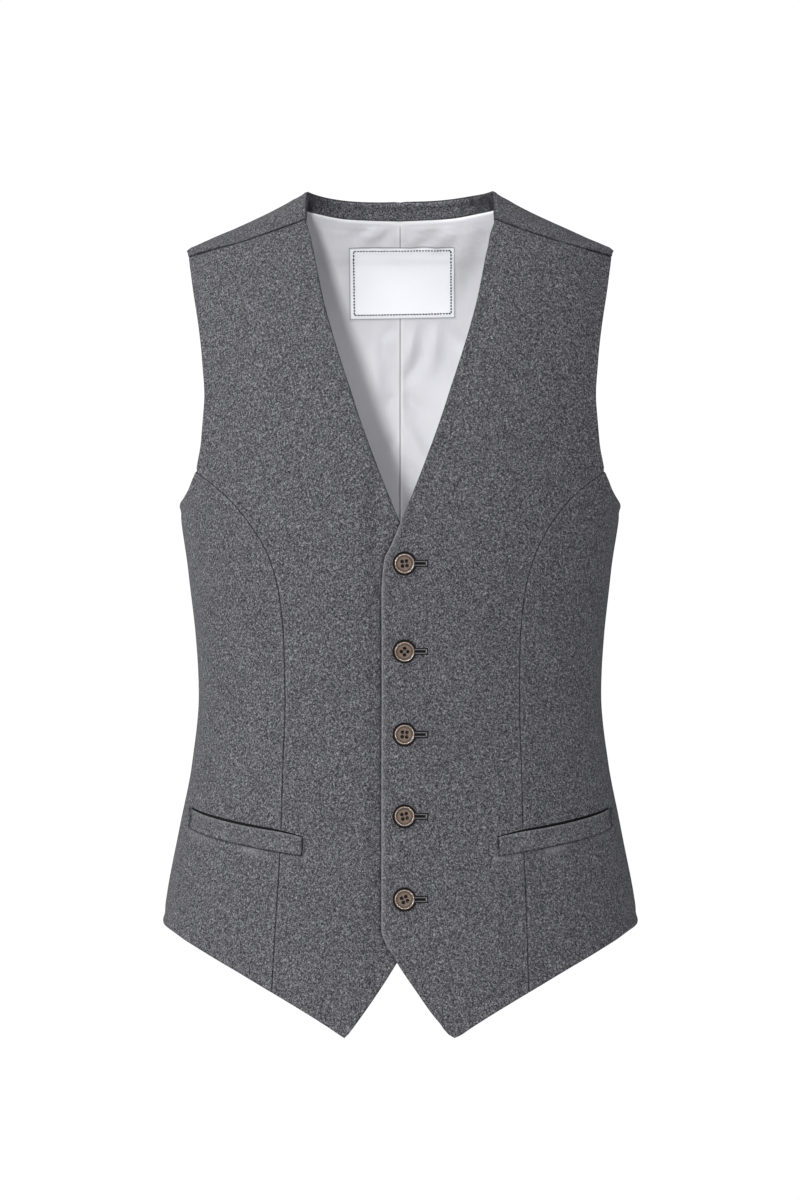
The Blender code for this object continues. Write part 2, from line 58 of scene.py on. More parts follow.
# %% Smooth lines through a table
def smooth(keys, values, at):
    """Cubic line through the values that never overshoots, straight past its ends."""
    keys = numpy.asarray(keys, float)
    values = numpy.asarray(values, float)
    step = numpy.diff(keys)
    rise = numpy.diff(values) / step
    slope = numpy.empty(len(keys))
    slope[0] = rise[0]
    slope[-1] = rise[-1]
    before = rise[:-1]
    after = rise[1:]
    same_way = before * after > 0
    weight_before = 2 * step[1:] + step[:-1]
    weight_after = step[1:] + 2 * step[:-1]
    safe_before = numpy.where(same_way, before, 1)
    safe_after = numpy.where(same_way, after, 1)
    mean = (weight_before + weight_after) / (weight_before / safe_before + weight_after / safe_after)
    slope[1:-1] = numpy.where(same_way, mean, 0)
    at = numpy.asarray(at, float)
    inside = numpy.clip(at, keys[0], keys[-1])
    cell = numpy.clip(numpy.searchsorted(keys, inside) - 1, 0, len(step) - 1)
    part = (inside - keys[cell]) / step[cell]
    start_share = (1 + 2 * part) * (1 - part) ** 2
    line = start_share * values[cell] + (1 - start_share) * values[cell + 1]
    line += part * (1 - part) ** 2 * step[cell] * slope[cell]
    line -= part ** 2 * (1 - part) * step[cell] * slope[cell + 1]
    past_end = numpy.where(at < keys[0], slope[0], slope[-1])
    return line + (at - inside) * past_end


def bell(value, centre, width):
    """Soft bump: 1 at the centre, fading to nothing at about twice the width."""
    return numpy.exp(-((value - centre) / width) ** 2)


print("halfway between rows:", round(float(smooth((0, 1, 2), (0, 1, 4), 1.5)), 2))

# %% [markdown]
# ## The body form
#
# A waistcoat is cut flat and shaped by its seams. Modelling the flat pieces and sewing them in a
# simulation is possible, but slow and hard to steer. Here the worn shape is described directly:
# at each drop below the neck point the body is half a superellipse in front and half behind,
# and `smooth` joins the rows of the table without overshooting.

# %% The body form
ROUNDNESS = 2.3
SECTIONS = (
    # drop, half_width, front_depth, back_depth
    (0, 74.4, 30, 46),
    (9, 90.4, 37, 52),
    (19, 109.7, 45, 59),
    (29, 133.4, 53, 66),
    (37.5, 151.5, 59.5, 72),
    (42, 161.5, 63, 75),
    (44.5, 167, 65, 77),
    (47, 170, 67, 79),
    (70, 173, 82, 91),
    (100, 175, 97, 102),
    (150, 176, 113, 113),
    (200, 175.5, 121, 117),
    (250, 173.8, 123, 115),
    (300, 167.3, 121, 108),
    (350, 161.6, 117, 100),
    (400, 159.3, 114, 96),
    (450, 164.5, 115, 99),
    (500, 174.0, 118, 107),
    (550, 183.6, 122, 114),
    (600, 190, 126, 118),
    (660, 197, 130, 122),
)


def section(drop):
    """Half width, front depth and back depth at a drop."""
    drops, *sizes = zip(*SECTIONS)
    return [smooth(drops, size, drop) for size in sizes]


def form(turn, drop):
    """Point on the outside of the cloth, for a turn and a drop."""
    half, front, back = section(drop)
    angle = numpy.radians(turn)
    sine = numpy.sin(angle)
    cosine = numpy.cos(angle)
    depth = numpy.where(cosine >= 0, front, back)
    reach = (numpy.abs(sine) / half) ** ROUNDNESS + (numpy.abs(cosine) / depth) ** ROUNDNESS
    radius = reach ** (-1 / ROUNDNESS)
    return numpy.stack([radius * sine, -radius * cosine, -drop + 0 * radius], axis=-1)


def outward(turn, drop):
    """Unit direction that points out of the cloth there."""
    small = 0.05
    round_body = form(turn + small, drop) - form(turn - small, drop)
    down_body = form(turn, drop + small) - form(turn, drop - small)
    normal = numpy.cross(down_body, round_body)
    return normal / numpy.linalg.norm(normal, axis=-1, keepdims=True)


print("front centre at the waist, mm:", form(0.0, 345.0).round(1))

# %% [markdown]
# ## From a tailor's measure to the form
#
# A place that shows from the front is easiest to give by its distance across and its drop, as a
# tailor would measure it. The form wants a turn and a drop, and for a superellipse one can be
# worked out from the other, so no searching is needed.

# %% From a tailor's measure to the form
def turn_at(across, drop, behind=False):
    """Turn of the point of the front (or back) that lies this far across."""
    half, front, back = section(drop)
    share = 1 - (numpy.abs(across) / half) ** ROUNDNESS
    depth = (back if behind else front) * numpy.maximum(share, 0) ** (1 / ROUNDNESS)
    turn = numpy.degrees(numpy.arctan2(across, depth))
    return 180 - turn if behind else turn


def on_front(rows):
    """Rows of across and drop as rows of turn and drop."""
    across, drop = numpy.array(rows, float).T
    return numpy.stack([turn_at(across, drop), drop], axis=1)


chest = form(numpy.linspace(0, 180, 200), numpy.full(200, 200.0))
half_girth = numpy.linalg.norm(numpy.diff(chest, axis=0), axis=1).sum()
print("chest girth, mm:", round(2 * float(half_girth)))

# %% [markdown]
# ## The edges of the pieces
#
# A cutter works from pattern outlines. Each table below is one such edge, given where it lies on
# the body. An edge that shows from the front is listed by its distance across and its drop, and
# the others by turn and drop. Drawing the edges as Blender curves would also work, but a table
# lets two pieces share the very same edge, so no gap can open between them.

# %% The edges of the pieces
LAP = 14.4
V_EDGE = (
    # across, drop
    (73.6, 25.3),
    (71.6, 32),
    (69, 41),
    (65.9, 56),
    (63.4, 69),
    (59.9, 86.5),
    (48.9, 127),
    (38.9, 158),
    (30.2, 185),
    (14.3, 228),
    (0, 263),
    (-8.3, 282.5),
    (-12.1, 290),
    (-13.4, 300),
    (-LAP, 315),
)
LAP_EDGE = ((-LAP, 315), (-LAP, 440), (-LAP, 562))
CUTAWAY = (
    # across, drop
    (-LAP, 562),
    (-LAP, 572),
    (-11.7, 580.5),
    (-7.2, 588.2),
    (-2.7, 596),
    (11.5, 617),
    (25.0, 636),
    (31.5, 643.8),
    (35, 649),
    (41, 652.9),
)
# The under front is cut back a little further below the last button
UNDER_CUTAWAY = (
    # across, drop
    (-LAP, 562),
    (-LAP, 569),
    (-10.4, 576.4),
    (-4, 586.4),
    (3.2, 597.5),
    (10.8, 609.6),
    (19.9, 623.2),
    (29, 636.2),
    (35.2, 644.7),
    (38.6, 649.2),
    (42.3, 652.9),
)
SHOULDER_SEAM = (
    # across, drop
    (73.6, 25.3),
    (88, 30.6),
    (98, 34.1),
    (107, 37.4),
    (132, 44.4),
    (153, 49.9),
    (166, 52.6),
)
ARMHOLE_FRONT = (
    # across, drop
    (166, 52.6),
    (163.3, 71.5),
    (157.6, 104),
    (153.8, 136),
    (152.0, 170),
    (154.0, 198),
    (158.5, 222),
)
PRINCESS_SEAM = (
    # across, drop, drift of both seams towards the wearer's left
    (158.5, 222, 0),
    (146, 231.5, -0.3),
    (131.6, 244, -0.2),
    (114.5, 265, 0.2),
    (101, 290, 1.0),
    (93.7, 318, 1.3),
    (90.6, 350, 1.5),
    (89.8, 398, 1.6),
    (91.0, 440, 1.5),
    (92.4, 497, 1.3),
    (94.8, 550, 1.0),
    (97.9, 620, 0),
)
print("front edges in the tables:", 6)

# %% [markdown]
# ## The edges round the side and the back
#
# These edges turn away from the front, so they are listed by turn and drop. The shoulder seam of
# this garment lies forward of the shoulder: the back is carried over the ridge to meet the front.

# %% The edges round the side and the back
UNDERARM = (
    # turn, drop
    (68.9, 222),
    (71.2, 228.4),
    (74, 236),
    (80.3, 243.3),
    (90, 246.5),
    (95, 247),
)
HEM = (
    # turn, drop
    (17.7, 652.9),
    (19.6, 651.1),
    (22.7, 646.3),
    (28.3, 637.8),
    (40.4, 620),
    (54.5, 600),
    (66.6, 585.8),
    (76, 578.2),
    (90, 574.3),
    (95, 573.5),
    (115, 571.5),
    (140, 568),
    (180, 565),
)
SHOULDER_END = ((82.6, 52.6), (84.5, 48), (85.5, 46.6), (90, 45.4))
ARMHOLE_BACK = (
    # turn, drop
    (90, 45.4),
    (95.3, 46.6),
    (96.9, 48.5),
    (100, 53.5),
    (109, 76),
    (115, 122),
    (117, 160),
    (113, 200),
    (104, 235),
    (95, 247),
)
BACK_NECK = (
    # turn, drop
    (90, -1.2),
    (99, -1.5),
    (108, -1.2),
    (118, -0.4),
    (127, 0.3),
    (136, 0.9),
    (155, 1.6),
    (180, 1.9),
)
FACING_FOOT = ((90, 7), (107, 7.9), (118, 9.6), (141, 13.7), (180, 15.5))
SIDE_SEAM = ((95, 247), (95, 410), (95, 573.5))
CENTRE_BACK = ((180, 1.9), (180, 290), (180, 565))
print("hem drop at the side and the centre back:", HEM[-5][1], HEM[-1][1])

# %% [markdown]
# ## Walking along an edge
#
# A mesh needs points at chosen distances along an edge: even ones in the middle, and close ones
# beside a rim, where the cloth rolls over. Blender's Subdivision Surface would round every rim
# alike; here the spacing is chosen, so a rim costs only a few narrow rows of faces.

# %% Walking along an edge
# Distances from an edge where the mesh gets a line
NEAR_EDGE = (0, 0.2, 0.45, 0.8, 1.3, 2.0, 3.2, 5.0)


def graded(length, cells, near=True, far=True, also=()):
    """Shares of a length: even cells, with the fine ones of NEAR_EDGE at either end."""
    fine = numpy.array(NEAR_EDGE)
    start = fine[-1] if near else 0
    stop = length - fine[-1] if far else length
    parts = [numpy.linspace(start, stop, cells + 1)]
    if near:
        parts.insert(0, fine[:-1])
    if far:
        parts.append(length - fine[-2::-1])
    return numpy.sort(numpy.concatenate(parts + [numpy.array(also, float)])) / length


def trace(rows):
    """The smooth line through rows of turn and drop, in short steps, and its running length."""
    rows = numpy.array(rows, float)
    chords = numpy.linalg.norm(numpy.diff(form(*rows.T), axis=0), axis=1)
    mark = numpy.concatenate([[0], numpy.cumsum(chords)])
    fine = numpy.linspace(0, mark[-1], 60 * len(rows))
    line = numpy.stack([smooth(mark, column, fine) for column in rows.T], axis=1)
    pieces = numpy.linalg.norm(numpy.diff(form(*line.T), axis=0), axis=1)
    return line, numpy.concatenate([[0], numpy.cumsum(pieces)])


def spaced(rows, cells, near=False, far=False, between=None):
    """Points along a line, all of it or between two of its drops."""
    line, walked = trace(rows)
    start, stop = numpy.interp(between, line[:, 1], walked) if between else (0, walked[-1])
    at = start + (stop - start) * graded(stop - start, cells, near, far)
    return numpy.stack([numpy.interp(at, walked, column) for column in line.T], axis=1)


def at_shares(rows, shares):
    """Points of a line at given shares of its length."""
    line, walked = trace(rows)
    at = shares * walked[-1]
    return numpy.stack([numpy.interp(at, walked, column) for column in line.T], axis=1)


def chain(*lines):
    """Lines that meet end to end, as one."""
    return numpy.concatenate([lines[0]] + [later[1:] for later in lines[1:]])


def neck_climb(across, front_drop, top_drop):
    """Edge that climbs the front at one distance across and ends on the shoulder ridge."""
    share = (1 - numpy.linspace(0, 1, 12)) ** 1.6
    drops = top_drop + (front_drop - top_drop) * share
    rows = numpy.stack([turn_at(across, drops), drops], axis=1)
    rows[-1, 0] = 90
    return rows


print("lap edge, mm:", round(float(trace(on_front(LAP_EDGE))[1][-1])))

# %% [markdown]
# ## Filling a piece with mesh
#
# Each piece has four sides, so it can be filled with a Coons patch: straight lines from the inner
# to the outer edge, bent towards the top and foot edges. Blender's Grid Fill does much the same,
# but leaves the inner rows to chance. Here cells are even in the middle and fine at the rim,
# where the cloth turns over and where light shows its thickness.

# %% Filling a piece with mesh
def patch(inner, outer, top_rows, foot_rows, cells, also=()):
    """Grid of turns and drops between four edges."""
    widths = numpy.linalg.norm(form(*inner.T) - form(*outer.T), axis=1)
    columns = numpy.stack([graded(width, cells, also=also) for width in widths])
    steps = numpy.linalg.norm(numpy.diff(form(*outer.T), axis=0), axis=1)
    down = numpy.concatenate([[0], numpy.cumsum(steps)]) / steps.sum()
    top = at_shares(top_rows, columns[0])
    foot = at_shares(foot_rows, columns[-1])
    share = columns[:, :, None]
    down = down[:, None, None]
    grid = inner[:, None] * (1 - share) + outer[:, None] * share
    top_bend = top - (inner[0] * (1 - share[0]) + outer[0] * share[0])
    foot_bend = foot - (inner[-1] * (1 - share[-1]) + outer[-1] * share[-1])
    return grid + (1 - down) ** 2 * top_bend + down ** 2 * foot_bend


print("columns of a 100 mm piece, as shares:", graded(100, 6).round(3))

# %% [markdown]
# ## The cut pieces as grids
#
# Now each cut piece gets its four sides. Neighbours take the rows of the seam between them at the
# same spacing, so their meshes meet point for point. The back and its lining are the same piece
# with another neck, hem and armhole, as they are in the workshop.

# %% The cut pieces as grids
def hem_between(first, last, lift=0):
    """The hem between two turns; a lining's hem is lifted."""
    rows = numpy.array([row for row in HEM if first <= row[0] <= last], float)
    rows[:, 1] -= lift
    return rows


def princess(side):
    """The curved front seam on one side of the body."""
    return on_front([(across + side * drift, drop) for across, drop, drift in PRINCESS_SEAM])


def front_grid(side, cutaway, also=()):
    """A front, from the neck and lap edges out to the armhole and the curved seam."""
    hem = hem_between(17, 41)
    hem[0] = on_front(cutaway)[-1]
    inner = chain(
        spaced(on_front(V_EDGE), 50, near=True, between=(25.3, 263)),
        spaced(on_front(V_EDGE), 16, between=(263, 315)),
        spaced(on_front(LAP_EDGE), 50),
        spaced(on_front(cutaway), 20, far=True),
    )
    outer = chain(
        spaced(on_front(ARMHOLE_FRONT), 50, near=True),
        spaced(princess(side), 16, between=(222, 296)),
        spaced(princess(side), 50, between=(296, 545)),
        spaced(princess(side), 20, far=True, between=(545, 620)),
    )
    return patch(inner, outer, on_front(SHOULDER_SEAM), hem, 50, also)


def side_grid(side):
    """A side front, from the curved seam to the side seam."""
    inner = chain(
        spaced(princess(side), 16, near=True, between=(222, 296)),
        spaced(princess(side), 50, between=(296, 545)),
        spaced(princess(side), 20, far=True, between=(545, 620)),
    )
    outer = chain(
        spaced(SIDE_SEAM, 16, near=True, between=(247, 310)),
        spaced(SIDE_SEAM, 50, between=(310, 515)),
        spaced(SIDE_SEAM, 20, far=True, between=(515, 573.5)),
    )
    return patch(inner, outer, UNDERARM, hem_between(40, 95), 40)


def back_grid(neck, behind, centre_top, hem_lift=0, arm_inset=0):
    """The back, or its lining with a shorter hem and a smaller armhole."""
    arm = numpy.array(ARMHOLE_BACK, float)
    arm[1:-1, 0] += arm_inset
    centre = ((180, centre_top), (180, 290), (180, 565))
    inner = chain(
        spaced(neck, 10, near=True),
        spaced(behind, 20),
        spaced(centre, 40, between=(centre_top, 205)),
        spaced(centre, 16, between=(205, 285)),
        spaced(centre, 46, between=(285, 512)),
        spaced(centre, 16, far=True, between=(512, 565 - hem_lift)),
    )
    outer = chain(
        spaced(SHOULDER_END, 10, near=True),
        spaced(arm, 60),
        spaced(SIDE_SEAM, 16, between=(247, 310)),
        spaced(SIDE_SEAM, 46, between=(310, 515)),
        spaced(SIDE_SEAM, 16, far=True, between=(515, 573.5 - hem_lift)),
    )
    shoulder = [row for row in on_front(SHOULDER_SEAM) if row[0] >= neck[0][0] - 0.01]
    foot = hem_between(95, 180, hem_lift)[::-1]
    return patch(inner, outer, shoulder, foot, 48)


NECK_EDGE = neck_climb(73.6, 25.3, -1.2)
FACING_EDGE = neck_climb(88, 30.6, 7)
# The under front also gets mesh lines where the edge of the upper one crosses it
UNDER_LAP = (27.2, 28.1, 28.7, 29.2, 29.8, 30.6, 31.8, 33.4)
back = back_grid(NECK_EDGE, BACK_NECK, 1.9)
grids = {
    "front_left": front_grid(1, CUTAWAY),
    "front_right": front_grid(-1, UNDER_CUTAWAY, UNDER_LAP),
    "side_front_left": side_grid(1),
    "side_front_right": side_grid(-1),
    "back_left": back,
    "back_right": back,
    "lining": back_grid(FACING_EDGE, FACING_FOOT, 15.5, hem_lift=9, arm_inset=0.6),
}
for name, grid in grids.items():
    print(name, "grid", grid.shape[:2])

# %% [markdown]
# ## Creases placed one by one
#
# Cloth that is worn is never quite smooth. A cloth simulation would crease it somewhere, but not
# where this garment creases, so each soft fold is one row: the line it follows, how wide it is
# and how high it stands (negative is a trough). Every fold tapers to its ends and swells a little
# along its way, so that no two look stamped.

# %% Creases placed one by one
FOLD_STEPS = 40


def fold_height(points, line, width, height):
    """Height of one soft fold at each point; it fades out towards its ends."""
    line = numpy.asarray(line, float)
    legs = numpy.linalg.norm(numpy.diff(line, axis=0), axis=1)
    mark = numpy.concatenate([[0], numpy.cumsum(legs)])
    fine = numpy.linspace(0, mark[-1], FOLD_STEPS)
    line = numpy.stack([smooth(mark, column, fine) for column in line.T], axis=1)
    gap = numpy.linalg.norm(points[:, None] - line[None], axis=2)
    nearest = gap.argmin(axis=1)
    share = nearest / (FOLD_STEPS - 1)
    taper = numpy.sin(math.pi * numpy.clip(share, 0.01, 0.99)) ** 0.6
    swell = 1 + 0.3 * numpy.sin(7 * share + 3 * width)
    distance = gap.min(axis=1) / (width * (1.1 - 0.3 * share))
    return height * taper * swell * bell(distance, 0, 1)


def folds_on(points, table):
    """Sum of the folds of a table at points given as across and drop."""
    total = numpy.zeros(len(points))
    for line, width, height in table:
        total += fold_height(points, line, width, height)
    return total


trial_fold = (((0, 0), (50, 9), (100, 0)), 8, 1)
print("middle of a fold 1 mm high:", folds_on(numpy.array([(50.0, 9.0)]), [trial_fold]).round(2))

# %% [markdown]
# ## The wool's folds
#
# A firm wool with interlining behind it barely creases: the folds are half a millimetre to a
# millimetre high, at the waist, under the arms and across the back, where a body would move.

# %% The wool's folds
# Across and drop on the wearer's left; the same folds are mirrored to the right at 0.8 of the height
FRONT_FOLDS = (
    # line, width, height
    (((152, 205), (128, 222), (104, 232)), 9, 0.5),
    (((146, 216), (120, 240), (98, 268)), 8, -0.5),
    (((78, 300), (60, 350), (52, 410)), 14, 0.5),
    (((30, 330), (26, 380), (32, 430)), 9, -0.35),
    (((150, 395), (126, 402), (100, 398)), 9, -0.8),
    (((152, 380), (130, 384), (104, 378)), 8, 0.6),
    (((154, 415), (134, 424), (110, 424)), 9, 0.6),
    (((60, 560), (66, 600), (62, 636)), 12, 0.5),
    (((20, 455), (44, 470), (66, 468)), 10, -0.4),
    (((120, 520), (128, 560), (124, 600)), 12, 0.5),
)
BACK_FOLDS = (
    # line, width, height
    (((20, 372), (70, 382), (120, 376)), 10, -1.0),
    (((14, 392), (60, 402), (130, 394)), 9, 0.9),
    (((24, 418), (80, 424), (136, 414)), 11, -0.8),
    (((150, 232), (118, 262), (96, 306)), 11, 0.9),
    (((146, 250), (126, 284), (112, 330)), 9, -0.8),
    (((12, 60), (40, 74), (84, 78)), 12, 0.6),
    (((60, 470), (66, 520), (60, 560)), 14, 0.6),
    (((118, 480), (126, 525), (122, 562)), 13, -0.6),
    (((104, 120), (112, 150), (110, 190)), 12, 0.6),
)
print("wool folds:", len(FRONT_FOLDS), "in front and", len(BACK_FOLDS), "behind")

# %% [markdown]
# ## The lining's folds
#
# Satin is thin and is cut with more ease than the wool, so it hangs in deeper and busier folds
# from the back neck, round the label and along the centre seam. They are what makes the lining
# read as satin, because its light lies along them.

# %% The lining's folds
# Height is towards the body
LINING_FOLDS = (
    # line (across is to the wearer's left), width, height
    (((57, 18), (50, 40), (43, 64)), 5.5, 2.2),
    (((69, 18), (62, 45), (52, 78)), 6.0, -1.6),
    (((40, 19), (34, 29), (26, 35)), 4.2, 1.4),
    (((30, 19), (24, 28), (14, 35)), 3.8, -1.2),
    (((17, 19), (13, 27), (5, 34)), 3.0, 1.0),
    (((-8, 19), (-14, 27), (-24, 34)), 3.6, -1.1),
    (((-14, 19), (-24, 26), (-32, 28)), 3.6, 1.2),
    (((-28, 19), (-36, 26), (-46, 30)), 4.0, -1.0),
    (((-46, 20), (-50, 48), (-44, 86)), 6.5, 1.4),
    (((20, 95), (19, 112), (11, 134), (2, 141)), 4.6, -1.9),
    (((27, 96), (28, 116), (24, 136)), 6.0, 1.2),
    (((34, 97), (44, 106), (54, 114)), 5.0, -1.6),
    (((10, 100), (8, 118), (2, 130)), 3.6, 1.0),
    (((-4, 97), (-14, 108), (-16, 122)), 4.5, -0.9),
    (((-8, 100), (-20, 126), (-18, 160)), 7.0, 1.1),
    (((3, 150), (12, 162), (20, 168)), 4.2, -0.9),
    (((-1, 152), (-8, 158), (-12, 165)), 3.4, -0.9),
    (((2, 172), (10, 190), (22, 206)), 5.0, 1.0),
    (((1, 186), (-6, 192), (-9, 202)), 3.2, -0.8),
    (((2, 206), (8, 222), (6, 246)), 4.5, 0.9),
    (((60, 120), (90, 132), (120, 128)), 8, 1.2),
    (((58, 220), (92, 236), (130, 230)), 9, -1.2),
    (((10, 330), (60, 342), (120, 336)), 9, 1.4),
    (((10, 356), (64, 364), (124, 354)), 9, -1.2),
    (((14, 430), (60, 440), (120, 436)), 10, 1.2),
    (((-60, 120), (-92, 134), (-124, 126)), 8, 1.2),
    (((-58, 226), (-94, 238), (-128, 228)), 9, -1.2),
    (((-10, 322), (-64, 336), (-122, 330)), 9, 1.4),
    (((-12, 350), (-60, 362), (-120, 356)), 9, -1.2),
    (((-12, 440), (-66, 446), (-122, 438)), 10, 1.2),
    (((40, 480), (46, 520), (42, 550)), 10, 1.2),
    (((-44, 470), (-50, 514), (-46, 548)), 10, 1.2),
)
print("lining folds:", len(LINING_FOLDS))

# %% [markdown]
# ## Where a point lies
#
# Folds, seams and marks all ask the same two questions of a point of the cloth: how far across
# and down it lies, and how far it is from some line. Both are answered once here for all the
# points of a piece at a time, which numpy does far faster than a loop.

# %% Where a point lies
def across_and_drop(points):
    """Form points unrolled to distance across and drop."""
    return numpy.stack([points[:, 0], -points[:, 2]], axis=1)


def pucker(across, drop):
    """Short ripples beside a seam that holds its cloth a little short."""
    ripple = numpy.sin(drop / 2.1 + 1.6 * numpy.sin(drop / 17)) * numpy.sin(drop / 31 + 0.6)
    return 0.35 * ripple * numpy.exp(-(numpy.abs(across) / 7) ** 1.5)


def distance_to(points, line):
    """Distance of each point from a line of points."""
    start = line[:-1]
    leg = line[1:] - line[:-1]
    size = (leg ** 2).sum(axis=1)
    nearest = numpy.empty(len(points))
    for some in numpy.array_split(numpy.arange(len(points)), max(1, len(points) // 400)):
        gap = points[some][:, None] - start[None]
        share = numpy.clip((gap * leg).sum(axis=2) / size, 0, 1)
        gap -= share[..., None] * leg
        nearest[some] = numpy.sqrt((gap ** 2).sum(axis=2).min(axis=1))
    return nearest


def line_on_form(rows):
    """A seam or edge line as points every few millimetres."""
    line, walked = trace(rows)
    count = max(4, int(walked[-1] / 3))
    at = numpy.linspace(0, walked[-1], count)
    return form(*[numpy.interp(at, walked, column) for column in line.T])


print("lap line has points:", len(line_on_form(on_front(LAP_EDGE))))

# %% [markdown]
# ## How an edge is finished
#
# Two kinds of edge matter. A turned edge (front, neck, armhole, hem) is folded over its facing and
# pressed: it rolls over, stands full just inside, and dips where the turning ends. A seam is two
# pieces stitched face to face and opened: the cloth dives into a narrow groove, with a small
# ridge beside it from the turnings behind. A Bevel modifier gives only the roll, so both edges
# are height profiles by distance from the edge.

# %% How an edge is finished


ROLL = 0.95


def turned_edge(distance, roll, flat=0):
    """Height of the cloth beside a turned edge; where it lies flat it has the roll alone."""
    over = numpy.clip(distance / roll, 0, 1)
    height = -roll * (1 - numpy.sqrt(1 - (1 - over) ** 2))
    relief = 0.34 * bell(distance, 2.4, 1.4) - 0.55 * bell(distance, 7.5, 3.2)
    return height + relief * (1 - flat)


def near_shoulder_end(points):
    """From 0 to 1 towards the outer end of the shoulder ridge, where three turnings lie flat."""
    x, _, z = points.T
    return numpy.exp(-((numpy.abs(x) - 167) / 17) ** 2 - ((z + 44) / 13) ** 2)


def seam_edge(distance):
    """Height of the cloth beside an opened seam."""
    return -1.35 * bell(distance, 0, 0.27) + 0.22 * bell(distance, 2.4, 1.4)


def waver(points, scale):
    """Slow variation from -1 to 1 over the cloth, where single sine waves would show."""
    x, y, z = (points / scale).T
    first = numpy.sin(1.3 * x + 2.1 * z + 0.5)
    second = numpy.sin(2.9 * z - 1.7 * y + 1.1)
    return (first + second + numpy.sin(2.3 * x - 0.9 * z + 1.9 * y)) / 3


print("edge stands, mm:", turned_edge(numpy.array([0, 1, 2.4, 7.5]), ROLL).round(2))

# %% [markdown]
# ## A closed wall of cloth
#
# Cloth has a thickness that shows at every edge. The Solidify modifier could add it, but with one
# thickness for all. Here the wall is built from two skins on one grid, an outer and an inner one,
# closed round the rim, so each side can be shaped by itself. Values that a material needs later,
# such as how near a seam is, are kept on the points as attributes.

# %% A closed wall of cloth



def placed(name, data, *finishes):
    """New object in the scene; its mesh gets the finishes in order."""
    for finish in finishes:
        data.materials.append(finish)
    new = bpy.data.objects.new(name, data)
    bpy.context.scene.collection.objects.link(new)
    return new


def new_object(name, finish, points, faces):
    """Smooth object from points in millimetres, with its faces turned outwards."""
    mesh = bpy.data.meshes.new(name)
    mesh.from_pydata((points * MM).tolist(), [], faces)
    work = bmesh.new()
    work.from_mesh(mesh)
    bmesh.ops.recalc_face_normals(work, faces=work.faces)
    work.to_mesh(mesh)
    work.free()
    mesh.shade_smooth()
    return placed(name, mesh, finish)


def shell(name, finish, outer, inner, rows, columns, marks):
    """Closed wall between two skins that share one grid; marks are values kept on the points."""
    number = numpy.arange(rows * columns).reshape(rows, columns)
    corners = [number[:-1, :-1], number[1:, :-1], number[1:, 1:], number[:-1, 1:]]
    quads = numpy.stack([corner.ravel() for corner in corners], axis=1)
    rim = numpy.concatenate([number[0], number[1:, -1], number[-1, -2::-1], number[-2:0:-1, 0]])
    ahead = numpy.roll(rim, -1)
    count = rows * columns
    closing = numpy.stack([ahead, rim, rim + count, ahead + count], axis=1)
    faces = numpy.concatenate([quads, quads[:, ::-1] + count, closing])
    wall = new_object(name, finish, numpy.concatenate([outer, inner]), faces.tolist())
    for mark, values in marks.items():
        wall.data.attributes.new(mark, "FLOAT", "POINT")
        change_mark(wall, mark, values)
    return wall


def mark_of(piece, mark):
    """Values of a mark on the points of one skin."""
    values = numpy.empty(len(piece.data.vertices), numpy.float32)
    piece.data.attributes[mark].data.foreach_get("value", values)
    return values[:len(values) // 2]


def change_mark(piece, mark, values):
    """New values of a mark, one for each point of a skin; both skins get them."""
    piece.data.attributes[mark].data.foreach_set("value", numpy.tile(values, 2).astype(numpy.float32))


# %% [markdown]
# ## Left is not quite right
#
# No garment is quite even. The shoulder ridge and the back neck stand a little high or low, by
# the table below, and one side of the waist is slightly slimmer. All pieces are moved alike after
# they are shaped, so they still meet.

# %% Left is not quite right
RIDGE_LIFT = (
    # across to the wearer's left, height over the form
    (-167.5, -0.5),
    (-164.5, 0),
    (-148, 0),
    (-130, -0.75),
    (-108, 0.1),
    (-90, 0.1),
    (-79, 0.6),
    (-70, -0.1),
    (-45, -0.65),
    (-15, -0.25),
    (0, 0.3),
    (30, 0.5),
    (58, 1.3),
    (70, 0.8),
    (79, 0.8),
    (92, 0.1),
    (108, 0.3),
    (130, -0.2),
    (145, 0),
    (160, 0.4),
    (164.5, 0.4),
    (167.5, -0.2),
)


def uneven(points):
    """Points moved by the small differences between the left and the right side."""
    x, _, z = points.T
    across, height = zip(*RIDGE_LIFT)
    neck = numpy.clip((80 - numpy.abs(x)) / 20, 0, 1)
    share = neck * numpy.clip((30 + z) / 25, 0, 1) + (1 - neck) * numpy.clip((150 + z) / 90, 0, 1)
    moved = points.copy()
    moved[:, 2] += share * smooth(across, height, numpy.clip(x, across[0], across[-1]))
    slim = numpy.where(x > 0, 1, -0.35) * (x / 165) ** 4 * numpy.exp(-((z + 345) / 100) ** 4)
    moved[:, 0] -= slim
    return moved


print("the ridge is lifted by up to", max(height for _, height in RIDGE_LIFT), "mm")

# %% [markdown]
# ## One call for a piece of cloth
#
# `cloth` puts the steps together: the form, the folds, the finish of each edge and the thickness.
# Beside the shape it works out two marks. "seam" is painted shade, for the shadow in a seam or
# under an edge. The light mark is a painted highlight, where edges and seam ridges catch the light.
# They could be painted by hand as vertex colours, but worked out from distances they follow every
# later change of the shape.

# %% One call for a piece of cloth
THINNEST = 0.15
SEAM_LINE = 0.37
SLOPED_SEAM_LINE = 1.4


def seam_shade(base, seams):
    """Painted shade of the seams: how near each point is to a seam, from 0 to 1; one near the shoulder
    slopes away and is wider.
    """
    mark = numpy.zeros(len(base))
    for line in seams:
        heights = line[:, 2]
        sloped = heights.max() > -30 and abs(heights[0] - heights[-1]) < 60
        width = SLOPED_SEAM_LINE if sloped else SEAM_LINE
        mark = numpy.maximum(mark, bell(distance_to(base, line), 0, width))
    return mark


